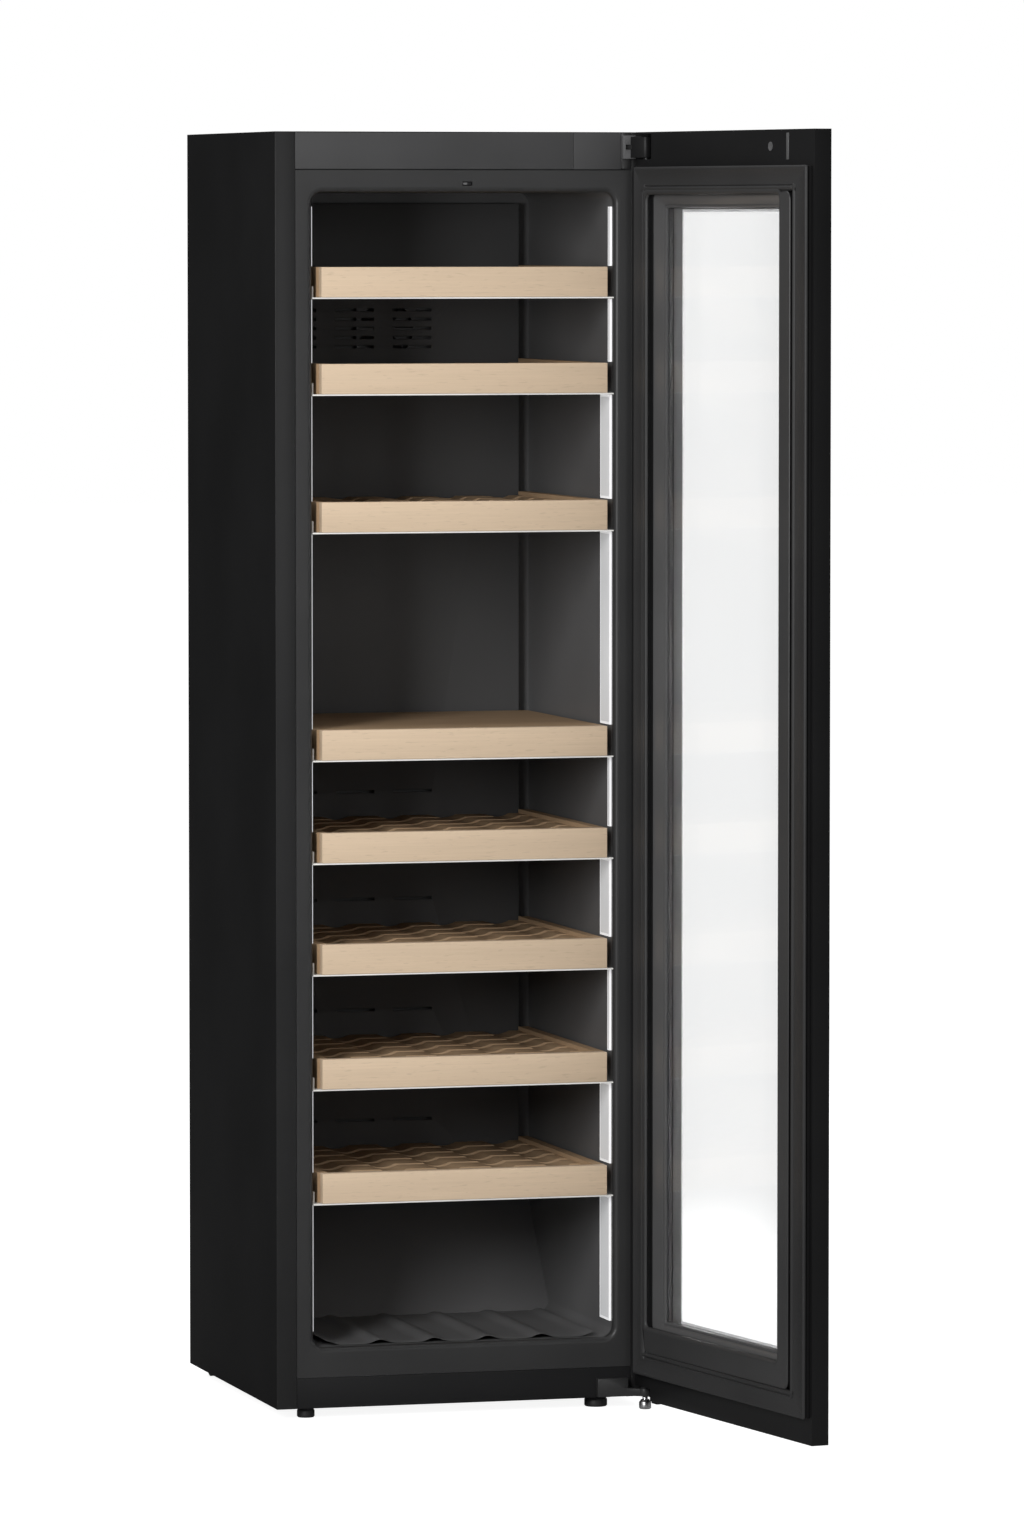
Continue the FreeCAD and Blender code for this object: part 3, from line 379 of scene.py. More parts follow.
# A pale line painted round the window's edge: a painted highlight for the light caught at the glass edge.
EDGE_HIGHLIGHT_PAINT = Finish("window_painted_highlight", (0.75, 0.75, 0.76), 0.4, texture_strength=0.05)
BRIGHT_STEEL = Finish("bright_steel", (0.62, 0.62, 0.63), 0.28, metallic=1.0, fine_scale=1400.0)
GREY_STEEL = Finish("zinc_steel", (0.38, 0.38, 0.39), 0.42, metallic=1.0, fine_scale=700.0)
DARK_STEEL = Finish("blackened_steel", (0.016, 0.016, 0.0165), 0.35, specular=0.4, fine_scale=1400.0)
WHITE_STEEL = Finish("white_powder_coat", (0.82, 0.81, 0.78), 0.45, texture_strength=0.15)
ALUMINIUM = Finish("mill_aluminium", (0.66, 0.66, 0.68), 0.35, metallic=1.0, fine_scale=1200.0)
COMPRESSOR_PAINT = Finish("compressor_enamel", (0.012, 0.012, 0.013), 0.3, coat=0.3)
FOAM = Finish("graphite_foam", (0.05, 0.05, 0.052), 0.9, fine_scale=250.0, texture_depth=0.0006)
CIRCUIT = Finish("circuit_board", (0.02, 0.14, 0.06), 0.4, fine_scale=300.0)
FAN_PLASTIC = Finish("fan_plastic", (0.035, 0.035, 0.037), 0.4)
INLET_PLASTIC = Finish("inlet_plastic", (0.016, 0.016, 0.017), 0.25, coat=0.2)
LENS = Finish("sensor_lens", (0.01, 0.01, 0.011), 0.12, coat=0.6, texture_strength=0.03)
BEECH = Beech("beech", (0.655, 0.508, 0.362), 0.45, specular=0.3, texture_depth=0.0001, texture_strength=0.2)
# The deck's beech is about six tenths as light as the board's: painted shade for the inside of the cabinet.
SHADED_BEECH_DECK = Beech("beech_deck", (0.40, 0.27, 0.16), 0.6, specular=0.2, texture_strength=0.3)
CLEAR_GLASS = Glass("clear_glass", (0.955, 0.957, 0.957), 0.02)
DIFFUSER = Lamp("light_diffuser", (0.62, 0.63, 0.64), 0.4, specular=0.3, glow=0.22)
DIFFUSER_RIM = Lamp("light_panel_rim", (0.85, 0.85, 0.86), 0.35, specular=0.3, glow=0.4)


# --------------------------------------------------------------- mesh bench


@dataclass(frozen=True)
class Loop:
    """One closed rectangle of a moulding, across X and Z at a depth along Y."""

    left: float
    right: float
    bottom: float
    top: float
    depth: float

    def grown(self, amount: float, depth: float) -> "Loop":
        """The same rectangle with each side moved out, at another depth."""
        return Loop(self.left - amount, self.right + amount, self.bottom - amount, self.top + amount, depth)

    def profile(self, base: float, *steps: tuple[float, float]) -> list["Loop"]:
        """The rectangle grown through a section, each step an amount and a height above the base."""
        return [self.grown(amount, base + height) for amount, height in steps]

    @classmethod
    def outline(cls, low: Vector, high: Vector, depth: float) -> "Loop":
        """The outline of a box seen along Y, at a depth."""
        return cls(low.x, high.x, low.z, high.z, depth)

    @property
    def middle(self) -> Vector:
        """The rectangle's centre."""
        return Vector(((self.left + self.right) / 2, self.depth, (self.bottom + self.top) / 2))


class Bench:
    """Mesh tools, each of which acts on one object."""

    seed_inset = 0.0005

    @staticmethod
    def alone(piece: bpy.types.Object) -> None:
        """Select one object and nothing else."""
        if bpy.context.object is not None and bpy.context.object.mode != "OBJECT":
            bpy.ops.object.mode_set(mode="OBJECT")
        bpy.ops.object.select_all(action="DESELECT")
        piece.select_set(True)
        bpy.context.view_layer.objects.active = piece

    @classmethod
    def named(cls, name: str) -> bpy.types.Object:
        """Name the object that an operator has just added, and apply its place."""
        piece = bpy.context.object
        piece.name = name
        piece.data.name = name
        cls.alone(piece)
        bpy.ops.object.transform_apply(location=True, rotation=True, scale=True)
        return piece

    @classmethod
    def block(cls, name: str, low: Vector, high: Vector) -> bpy.types.Object:
        """Add a cube between two corners.

        Args:
            name: The piece's name.
            low: Its lowest corner.
            high: Its highest corner.

        Returns:
            The new object.
        """
        bpy.ops.object.select_all(action="DESELECT")
        low, high = Vector(low), Vector(high)
        bpy.ops.mesh.primitive_cube_add(size=1.0, location=(low + high) / 2)
        bpy.context.object.scale = high - low
        return cls.named(name)

    @classmethod
    def rod(cls, name: str, centre: Vector, radius: float, length: float, axis: str,
            sides: int = 32) -> bpy.types.Object:
        """Add a cylinder about a centre along an axis.

        Args:
            name: The piece's name.
            centre: The middle of the rod.
            radius: Its radius.
            length: Its length.
            axis: X, Y or Z.
            sides: The sides of its section.

        Returns:
            The new object.
        """
        turns = {"X": (0, math.pi / 2, 0), "Y": (math.pi / 2, 0, 0), "Z": (0, 0, 0)}
        bpy.ops.object.select_all(action="DESELECT")
        bpy.ops.mesh.primitive_cylinder_add(
            vertices=sides, radius=radius, depth=length, location=centre, rotation=turns[axis])
        return cls.named(name)

    @classmethod
    def edit(cls, piece: bpy.types.Object, kind: str) -> None:
        """Enter edit mode on one object with nothing selected.

        Args:
            piece: The object to edit.
            kind: VERT, EDGE or FACE.
        """
        cls.alone(piece)
        bpy.ops.object.mode_set(mode="EDIT")
        bpy.ops.mesh.select_mode(type=kind)
        bpy.ops.mesh.select_all(action="DESELECT")

    @classmethod
    def pick(cls, piece: bpy.types.Object, kind: str, wanted: Callable[[object], bool]) -> int:
        """Select the elements of a piece that pass a test, and enter edit mode.

        Args:
            piece: The object to edit.
            kind: VERT, EDGE or FACE.
            wanted: The test, given a vertex, edge or polygon.

        Returns:
            How many were selected.
        """
        cls.edit(piece, kind)
        bpy.ops.object.mode_set(mode="OBJECT")
        mesh = piece.data
        elements = {"VERT": mesh.vertices, "EDGE": mesh.edges, "FACE": mesh.polygons}[kind]
        count = 0
        for element in elements:
            element.select = bool(wanted(element))
            count += element.select
        bpy.ops.object.mode_set(mode="EDIT")
        return count

    @classmethod
    def modify(cls, piece: bpy.types.Object, kind: str, **settings: object) -> None:
        """Add a modifier, set it and apply it.

        Args:
            piece: The object to change.
            kind: The modifier's type.
            settings: Its properties.
        """
        cls.alone(piece)
        modifier = piece.modifiers.new(kind.lower(), kind)
        for key, value in settings.items():
            setattr(modifier, key, value)
        bpy.ops.object.modifier_apply(modifier=modifier.name)

    @classmethod
    def smooth(cls, piece: bpy.types.Object, angle: float = 32.0) -> None:
        """Shade smooth across edges flatter than an angle in degrees."""
        cls.alone(piece)
        bpy.ops.object.shade_smooth_by_angle(angle=math.radians(angle))

    @classmethod
    def ease(cls, piece: bpy.types.Object, width: float, segments: int = 2, angle: float = 40.0) -> None:
        """Round every edge sharper than an angle.

        Args:
            piece: The object to change.
            width: The rounding's width in metres.
            segments: How many steps round each edge.
            angle: The least angle in degrees that is rounded.
        """
        cls.modify(piece, "BEVEL", width=width, segments=segments, limit_method="ANGLE",
                   angle_limit=math.radians(angle), use_clamp_overlap=True, harden_normals=False)
        cls.smooth(piece, 50.0)

    @classmethod
    def copy_of(cls, node: str, name: str) -> bpy.types.Object:
        """A merged copy of a CAD node, with its flat faces whole again.

        Args:
            node: The CAD node to copy.
            name: The copy's name.

        Returns:
            The new object.
        """
        source = frame["nodes"][node]
        piece = bpy.data.objects.new(name, source.data.copy())
        piece.data.name = name
        bpy.context.scene.collection.objects.link(piece)
        piece.data.materials.clear()
        cls.alone(piece)
        if piece.data.has_custom_normals:
            bpy.ops.mesh.customdata_custom_splitnormals_clear()
        cls.edit(piece, "VERT")
        bpy.ops.mesh.select_all(action="SELECT")
        bpy.ops.mesh.remove_doubles(threshold=0.00001)
        bpy.ops.mesh.tris_convert_to_quads(
            face_threshold=math.radians(1.0), shape_threshold=math.radians(60.0))
        bpy.ops.object.mode_set(mode="OBJECT")
        return piece

    @classmethod
    def fit_face(cls, target: Loop, shape: Loop) -> None:
        """Scale and move the selected face from one rectangle to another."""
        wide = (target.right - target.left) / (shape.right - shape.left)
        tall = (target.top - target.bottom) / (shape.top - shape.bottom)
        bpy.ops.transform.resize(value=(wide, 1.0, tall), center_override=shape.middle)
        bpy.ops.transform.translate(value=target.middle - shape.middle)

    @classmethod
    def moulding(cls, name: str, loops: Sequence[Loop], corner: float, steps: int = 5) -> bpy.types.Object:
        """Build a mitred frame whose section runs through the loops and closes on the first.

        Args:
            name: The piece's name.
            loops: The rectangles that the section passes, in order.
            corner: The corner radius of the rectangles.
            steps: How many steps round each corner.

        Returns:
            The new object.
        """
        first = loops[0]
        bpy.ops.object.select_all(action="DESELECT")
        bpy.ops.mesh.primitive_plane_add(size=1.0, location=first.middle, rotation=(math.pi / 2, 0, 0))
        bpy.context.object.scale = (first.right - first.left, first.top - first.bottom, 1.0)
        piece = cls.named(name)
        cls.edit(piece, "VERT")
        bpy.ops.mesh.select_all(action="SELECT")
        bpy.ops.mesh.bevel(offset=corner, segments=steps, affect="VERTICES", clamp_overlap=True)
        bpy.ops.mesh.select_mode(type="FACE")
        bpy.ops.mesh.select_all(action="SELECT")
        shape = first
        for loop in loops[1:]:
            bpy.ops.mesh.inset(thickness=cls.seed_inset)
            inner = shape.grown(-cls.seed_inset, shape.depth)
            cls.fit_face(loop, inner)
            shape = loop
        bpy.ops.mesh.delete(type="FACE")
        bpy.ops.mesh.select_mode(type="EDGE")
        bpy.ops.mesh.select_all(action="DESELECT")
        bpy.ops.mesh.select_non_manifold(extend=False, use_wire=False, use_multi_face=False,
                                         use_non_contiguous=False, use_verts=False)
        bpy.ops.mesh.bridge_edge_loops()
        bpy.ops.mesh.select_all(action="SELECT")
        bpy.ops.mesh.normals_make_consistent(inside=False)
        bpy.ops.object.mode_set(mode="OBJECT")
        return piece

    @classmethod
    def place(cls, piece: bpy.types.Object, where: Matrix) -> None:
        """Stand a piece in a frame and apply it to its mesh."""
        piece.matrix_world = where
        cls.alone(piece)
        bpy.ops.object.transform_apply(location=True, rotation=True, scale=True)

    @classmethod
    def join(cls, pieces: Sequence[bpy.types.Object], name: str) -> bpy.types.Object:
        """Join several objects into one.

        Args:
            pieces: The objects, of which the first keeps its place.
            name: The name of the result.

        Returns:
            The joined object.
        """
        cls.alone(pieces[0])
        for piece in pieces[1:]:
            piece.select_set(True)
        bpy.ops.object.join()
        made = bpy.context.object
        made.name = name
        made.data.name = name
        return made

    @classmethod
    def hand_over(cls, piece: bpy.types.Object, finish: Finish, slot: str, body: str,
                  *nodes: str) -> bpy.types.Object:
        """Dress a piece, ride it on its body and let it stand for its CAD nodes.

        Args:
            piece: The finished mesh.
            finish: Its finish, unless it already has one.
            slot: The record's material slot; not used.
            body: The body that it moves with.
            nodes: The CAD nodes that it stands for.

        Returns:
            The same piece.
        """
        if not piece.data.materials:
            piece.data.materials.append(finish.material())
        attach(piece, body)
        if nodes:
            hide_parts(*nodes)
        LOG.info("%s: %d faces", piece.name, len(piece.data.polygons))
        return piece

    @classmethod
    def repaint(cls, node: str, finish: Finish) -> None:
        """Give a CAD node that keeps its shape a better finish."""
        mesh = frame["nodes"][node].data
        mesh.materials.clear()
        mesh.materials.append(finish.material())
        LOG.info("%s: repainted", node)

    @classmethod
    def refine(cls, node: str, finish: Finish, slot: str, width: float = 0.0, body: str = "cabinet",
               segments: int = 2) -> bpy.types.Object:
        """Replace a CAD node by a copy of it with rounded edges.

        Args:
            node: The CAD node.
            finish: The copy's finish.
            slot: The record's material slot.
            width: The rounding's width, or nought for smooth shading only.
            body: The body that it moves with.
            segments: How many steps round each edge.

        Returns:
            The copy.
        """
        piece = cls.copy_of(node, f"{node}_casing")
        if width:
            cls.ease(piece, width, segments)
        else:
            cls.smooth(piece)
        return cls.hand_over(piece, finish, slot, body, node)


# ------------------------------------------------------------------ cabinet


@dataclass
class Datum:
    """The cabinet's own zero: its centre line, its front face and the floor."""

    centre_x: float = field(init=False)
    front_y: float = field(init=False)

    def __post_init__(self) -> None:
        """Read the centre and front from the CAD side panels."""
        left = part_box("side_panel_left")
        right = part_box("side_panel_right")
        self.centre_x = (left[0].x + right[1].x) / 2
        self.front_y = left[0].y

    def at(self, x: float, y: float, z: float) -> Vector:
        """A point given from the cabinet's zero."""
        return Vector((self.centre_x + x, self.front_y + y, z))


@dataclass
class Carcass:
    """The steel skin, front frame, fascia, plinth and liner."""

    datum: Datum
    sheet_rounding: float = 0.0016
    fascia_rounding: float = 0.0006
    wave_count: int = 5
    wave_height: float = 0.007
    cradle_half_width: float = 0.205
    cradle_depth: float = 0.3
    cradle_start: float = 0.018
    liner_wall: float = 0.002
    cradle_lift: float = 0.0012
    ridge_share: float = 0.12

    def build(self) -> None:
        """Dress the carcass's pieces in order."""
        for node in ("side_panel_left", "side_panel_right"):
            self.side(node)
        for node in ("top_panel", "rear_panel", "machine_cover"):
            Bench.repaint(node, PAINT)
        Bench.refine("plinth", PLINTH_PLASTIC, "black_steel", 0.0006)
        Bench.refine("front_frame", FRAME_PLASTIC, "dark_plastic")
        Bench.refine("control_fascia", FASCIA_PLASTIC, "dark_plastic", self.fascia_rounding)
        Bench.refine("fascia_end_cover", FASCIA_PLASTIC, "dark_plastic", self.fascia_rounding)
        Bench.refine("door_sensor", LENS, "black_gloss", 0.0012, segments=3)
        # The liner takes the lightened grey, painted light on its walls.
        Bench.refine("inner_liner", LIGHTENED_LINER_PLASTIC, "liner_plastic")
        Bench.refine("duct_cover", DUCT_PLASTIC, "liner_plastic", 0.0015)
        self.bottle_cradle()

    def side(self, node: str) -> None:
        """A side panel, whose folded front edge and return have a smoother coat, a little lighter in colour
        as a painted highlight.

        Args:
            node: The CAD node of the panel.
        """
        panel = Bench.copy_of(node, f"{node}_sheet")
        Bench.ease(panel, self.sheet_rounding, 4)
        panel.data.materials.append(PAINT.material())
        panel.data.materials.append(LIT_EDGE_PAINT.material())
        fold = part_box(node)[0].y + self.sheet_rounding * 1.05
        # The return and its rounded front edge take the lighter coat, a painted highlight.
        for face in panel.data.polygons:
            face.material_index = int(face.center.y < fold and face.normal.y < -0.05)
        Bench.hand_over(panel, PAINT, "black_steel", Body.CABINET.value, node)

    def bottle_cradle(self) -> None:
        """The moulded tray on the liner's floor, with a soft hollow for each bottle."""
        low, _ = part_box("inner_liner")
        lift = self.liner_wall + self.cradle_lift
        centre = self.datum.at(0.0, self.cradle_start + self.cradle_depth / 2, low.z + lift)
        bpy.ops.object.select_all(action="DESELECT")
        bpy.ops.mesh.primitive_grid_add(x_subdivisions=60, y_subdivisions=10, size=1.0, location=centre)
        bpy.context.object.scale = (self.cradle_half_width * 2, self.cradle_depth, 1.0)
        tray = Bench.named("bottle_cradle")
        pitch = self.cradle_half_width * 2 / self.wave_count
        for ridge in range(self.wave_count + 1):
            place = centre.x - self.cradle_half_width + pitch * ridge
            count = Bench.pick(tray, "VERT", lambda v: abs(v.co.x - place) < pitch * self.ridge_share)
            if count:
                bpy.ops.transform.translate(value=(0, 0, self.wave_height))
            bpy.ops.object.mode_set(mode="OBJECT")
        Bench.modify(tray, "SMOOTH", factor=0.5, iterations=6, use_x=False, use_y=False)
        Bench.modify(tray, "SOLIDIFY", thickness=0.001, offset=-1.0)
        Bench.modify(tray, "SUBSURF", levels=1, render_levels=1)
        Bench.smooth(tray, 60.0)
        # The cradle shares the liner's lightened grey, painted light.
        Bench.hand_over(tray, LIGHTENED_LINER_PLASTIC, "liner_plastic", Body.CABINET.value)


@dataclass
class Lights:
    """The lamp panels on the side walls, one beside each bay."""

    bays: int = 9
    wide_bays: tuple[int, ...] = (3, 4, 6, 8, 9)
    narrow_depth: float = 0.011
    rim: float = 0.0034
    board_clearance: float = 0.0012
    runner_clearance: float = 0.0030

    def build(self) -> None:
        """Make the panels of both walls, a pale diffuser with a brighter rim each."""
        low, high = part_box("light_panels")
        thick = self.thickness(high.x)
        panels = []
        for bay in range(1, self.bays + 1):
            bottom, top = self.bay_span(bay, low.z, high.z)
            back = high.y if bay in self.wide_bays else low.y + self.narrow_depth
            for inner, outer in ((low.x, low.x + thick), (high.x - thick, high.x)):
                panels.append(self.panel(Vector((inner, low.y, bottom)), Vector((outer, back, top))))
        lamps = Bench.join(panels, "light_panel_diffusers")
        Bench.hand_over(lamps, DIFFUSER, "lamp_plastic", Body.CABINET.value, "light_panels")

    def thickness(self, wall: float) -> float:
        """How far the lamp panels stand off their walls.

        Args:
            wall: The right wall's place on X.

        Returns:
            The panels' thickness.
        """
        corners = [v.co.x for v in frame["nodes"]["light_panels"].data.vertices if v.co.x > 0]
        return wall - min(corners)

    def bay_span(self, bay: int, lowest: float, highest: float) -> tuple[float, float]:
        """The heights between which a bay's panels run.

        Args:
            bay: The bay, counted from the top.
            lowest: The lowest height of any panel.
            highest: The highest height of any panel.

        Returns:
            The bottom and top heights.
        """
        top = highest if bay == 1 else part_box(f"shelf_{bay - 1}_board")[0].z - self.runner_clearance
        bottom = lowest if bay == self.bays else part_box(f"shelf_{bay}_board")[1].z + self.board_clearance
        return bottom, top

    def panel(self, low: Vector, high: Vector) -> bpy.types.Object:
        """One panel with a rim round its diffuser.

        Args:
            low: Its lowest corner.
            high: Its highest corner.

        Returns:
            The panel.
        """
        panel = Bench.block("light_panel", low, high)
        panel.data.materials.append(DIFFUSER.material())
        panel.data.materials.append(DIFFUSER_RIM.material())
        Bench.pick(panel, "FACE", lambda face: abs(face.normal.x) > 0.99)
        bpy.ops.mesh.inset(thickness=self.rim if high.y - low.y > self.rim * 4 else self.rim / 2)
        bpy.ops.mesh.select_all(action="INVERT")
        bpy.ops.object.mode_set(mode="OBJECT")
        for face in panel.data.polygons:
            face.material_index = 1 if face.select else 0
        return panel


@dataclass
class Shelves:
    """The pull-out shelves and the fixed runners under them."""

    count: int = 8
    board_rounding: float = 0.0010
    end_setback: float = 0.004

    def build(self) -> None:
        """Make each board and deck, then the runners."""
        for number in range(1, self.count + 1):
            self.board(number)
            self.deck(number)
        Bench.refine("shelf_runners", WHITE_STEEL, "white_steel")

    def board(self, number: int) -> None:
        """The front board, eased all round.

        Args:
            number: The shelf, counted from the top.
        """
        low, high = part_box(f"shelf_{number}_board")
        board = Bench.block(f"shelf_{number}_front", low + Vector((self.end_setback, 0, 0)), high)
        Bench.ease(board, self.board_rounding, segments=3)
        Bench.hand_over(board, BEECH, "beech", f"shelf_{number}", f"shelf_{number}_board")

    def deck(self, number: int) -> None:
        """The slatted deck with its side boards, in a darker beech that is painted shade.

        Args:
            number: The shelf, counted from the top.
        """
        # The darker beech here is painted shade.
        Bench.refine(f"shelf_{number}_deck", SHADED_BEECH_DECK, "beech_deck", body=f"shelf_{number}")


# --------------------------------------------------------------------- door


@dataclass
class Door:
    """The glazed door, drawn shut from its pin and then turned to rest."""

    casing_rounding: float = 0.0018
    window_left: float = -0.439
    window_right: float = -0.097
    window_bottom: float = 0.137
    window_top: float = 1.771
    print_margin: float = 0.0002
    print_thickness: float = 0.0001
    cover_width: float = 0.0272
    highlight_width: float = 0.004
    seal_width: float = 0.036
    seal_free: float = 0.043
    seal_thickness: float = 0.004
    seal_gap: float = 0.0022
    frame_corner: float = 0.014
    bead_corner: float = 0.008
    where: Matrix = field(init=False)

    def __post_init__(self) -> None:
        """Find the pin and the rest angle from the door's joint."""
        joint = JOINTS["door_hinge"]
        turn = math.radians(-joint["range_deg"][0])
        self.where = Matrix.Translation(Vector(joint["pos_m"])) @ Matrix.Rotation(turn, 4, "Z")

    def local_box(self, node: str) -> Corners:
        """A door node's box in the shut door's own frame.

        Args:
            node: The CAD node.

        Returns:
            Its lowest and highest corners from the pin.
        """
        back = self.where.inverted()
        points = [back @ v.co for v in frame["nodes"][node].data.vertices]
        low = Vector([min(p[axis] for p in points) for axis in range(3)])
        high = Vector([max(p[axis] for p in points) for axis in range(3)])
        return low, high

    def build(self) -> None:
        """Make the door's pieces from the outside in."""
        Bench.refine("door_shell", DOOR_PLASTIC, "dark_plastic", self.casing_rounding, Body.DOOR.value, 3)
        self.pane()
        Bench.repaint("inner_glass", CLEAR_GLASS)
        self.spacer()
        self.printed_border()
        self.glazing_bead()
        self.inner_frame()
        self.gasket()
        self.lower_housing()
        self.top_marks()

    def set_in(self, piece: bpy.types.Object, finish: Finish, slot: str, *nodes: str) -> None:
        """Turn a finished piece to the door's rest place and hand it over."""
        Bench.place(piece, self.where)
        Bench.hand_over(piece, finish, slot, Body.DOOR.value, *nodes)

    def pane(self) -> None:
        """The front glass, with its ground edge blackened all round."""
        low, high = self.local_box("front_glass")
        pane = Bench.block("front_pane", low, high)
        pane.data.materials.append(CLEAR_GLASS.material())
        pane.data.materials.append(PRINT.material())
        Bench.ease(pane, 0.0005, 2)
        for face in pane.data.polygons:
            face.material_index = int(abs(face.normal.y) < 0.2)
        self.set_in(pane, CLEAR_GLASS, "glass", "front_glass")

    def printed_border(self) -> None:
        """The print round the window, black outside and grey inside, with a pale line at its edge that is a
        painted highlight.
        """
        low, high = self.local_box("front_glass")
        depth = high.y - self.print_thickness * 2
        back = depth + self.print_thickness
        inner = Loop(self.window_left, self.window_right, self.window_bottom, self.window_top, depth)
        outer = Loop.outline(low, high, depth).grown(-self.print_margin, depth)
        border = Bench.moulding("printed_border", [
            outer, inner, inner.grown(0.0, back), outer.grown(0.0, back),
        ], 0.002, 2)
        self.set_in(border, PRINT, "black_gloss")
        inside = inner.grown(0.0, high.y + 0.0001)
        line = inside.grown(0.0, inside.depth + self.print_thickness)
        cover = Bench.moulding("inner_print", [
            inside, line, line.grown(self.cover_width, line.depth),
            inside.grown(self.cover_width, inside.depth),
        ], 0.002, 2)
        self.set_in(cover, PRINT_INSIDE, "grey_plastic")
        # The pale line is a painted highlight at the window's edge.
        highlight_strip = Bench.moulding("window_edge_highlight", [
            inside, inside.grown(-self.highlight_width, inside.depth),
            line.grown(-self.highlight_width, line.depth), line,
        ], 0.002, 2)
        self.set_in(highlight_strip, EDGE_HIGHLIGHT_PAINT, "aluminium")

    def spacer(self) -> None:
        """The warm-edge spacer between the panes, with a bead of sealant at each pane."""
        low, high = self.local_box("glass_spacer")
        front, back = low.y, high.y
        outer = Loop.outline(low, high, front + 0.0004)
        inner = Loop(-0.4690, -0.0688, 0.1370, 1.7740, back)
        loops = [
            outer,
            outer.grown(0.0, back),
            inner.grown(0.0014, back),
            inner.grown(0.0010, back - 0.0008),
            inner.grown(0.0, back - 0.0014),
            inner.grown(0.0, front + 0.0020),
            inner.grown(0.0012, front + 0.0012),
            inner.grown(0.0012, front + 0.0004),
        ]
        spacer = Bench.moulding("pane_spacer", loops, 0.003, 3)
        Bench.smooth(spacer, 30.0)
        self.set_in(spacer, SPACER_BAR, "aluminium", "glass_spacer")

    def glazing_bead(self) -> None:
        """The sloped bead that holds the inner pane."""
        low, high = self.local_box("glazing_bead")
        front, back = high.y, low.y
        outer = Loop.outline(low, high, back)
        crest = outer.grown(-0.002, front)
        foot = Loop(-0.4690, -0.0710, 0.1370, 1.7740, back + 0.0034)
        lip = Loop(-0.4680, -0.0720, 0.1380, 1.7730, back)
        loops = [
            outer,
            outer.grown(0.0, front - 0.001),
            crest,
            crest.grown(-0.003, front - 0.0004),
            foot.grown(0.0040, foot.depth + 0.0010),
            foot.grown(0.0036, foot.depth - 0.0004),
            foot.grown(0.0026, foot.depth - 0.0004),
            foot.grown(0.0022, foot.depth + 0.0005),
            foot,
            lip.grown(0.0004, back + 0.0022),
            lip.grown(0.0, back + 0.0012),
            lip,
        ]
        bead = Bench.moulding("glazing_bead_moulding", loops, self.bead_corner)
        Bench.smooth(bead, 25.0)
        self.set_in(bead, BEAD_PLASTIC, "grey_plastic", "glazing_bead")

    def inner_frame(self) -> None:
        """The moulded frame round the window: a face, a rounded lip and a wall down to the bead, painted
        black as painted shade in the recess.
        """
        low, high = self.local_box("inner_frame")
        face, back = high.y, low.y
        view = Loop(-0.465, -0.040, 0.1275, 1.792, face)
        edge = Loop(-0.5005, low.x + 0.4776, low.z, high.z, face)
        flange = Loop.outline(low, high, back)
        loops = [
            flange,
            flange.grown(0.0, back + 0.002),
            edge.grown(0.0, back + 0.002),
            *edge.profile(
                face, (0.0, -0.0016), (-0.0008, -0.0006), (-0.0020, -0.0004)),
            *view.profile(
                face, (0.0075, -0.0004), (0.0060, 0.0), (0.0042, -0.0001), (0.0022, -0.0009),
                (0.0008, -0.0022), (0.0001, -0.0038), (0.0, -0.0048), (0.0012, -0.0050)),
            view.grown(0.0012, back + 0.0002),
            view.grown(0.0012, back),
        ]
        piece = Bench.moulding("door_inner_frame", loops, self.frame_corner)
        piece.data.materials.append(DOOR_FRAME_PLASTIC.material())
        piece.data.materials.append(DOOR_PLASTIC.material())
        # Faces deeper than the lip take the black casing plastic: painted shade in the recess.
        for wall in piece.data.polygons:
            wall.material_index = int(wall.center.y < face - 0.0046)
        Bench.smooth(piece, 30.0)
        self.set_in(piece, DOOR_FRAME_PLASTIC, "grey_plastic", "inner_frame")

    def gasket(self) -> None:
        """The magnetic seal: a flat strip with a rib along its inner edge, on a black carrier."""
        low, high = self.local_box("gasket")
        face, back = high.y, low.y
        outer = Loop.outline(low, high, face - 0.002)
        inner = Loop(low.x + self.seal_free, high.x - self.seal_width, low.z + self.seal_width,
                     high.z - self.seal_width, face)
        under = face - self.seal_thickness
        loops = [
            outer.grown(-0.004, under),
            outer.grown(0.0, under),
            outer,
            *outer.profile(
                face, (-0.0010, -0.0006), (-0.0024, 0.0), (-0.0046, -0.0004), (-0.0060, -0.0014)),
            *inner.profile(
                face, (0.0090, -0.0014), (0.0076, -0.0030), (0.0066, -0.0012), (0.0046, 0.0),
                (0.0020, -0.0006), (0.0, -0.0034)),
            inner.grown(0.0, under),
        ]
        seal = Bench.moulding("door_seal", loops, 0.0035, 3)
        Bench.smooth(seal, 35.0)
        self.set_in(seal, GASKET_RUBBER, "gasket_rubber", "gasket")
        lower = under - self.seal_gap
        step = lower - 0.0022
        loops = [
            outer.grown(-0.0022, back),
            outer.grown(-0.0004, back + 0.0006),
            outer.grown(-0.0004, step),
            outer.grown(-0.0014, step + 0.0004),
            outer.grown(-0.0014, lower),
            outer.grown(-0.0050, lower),
            outer.grown(-0.0050, under),
            inner.grown(0.0004, under),
            inner.grown(0.0004, back),
        ]
        carrier = Bench.moulding("seal_carrier", loops, 0.0035, 3)
        Bench.smooth(carrier, 30.0)
        self.set_in(carrier, DOOR_PLASTIC, "dark_plastic")

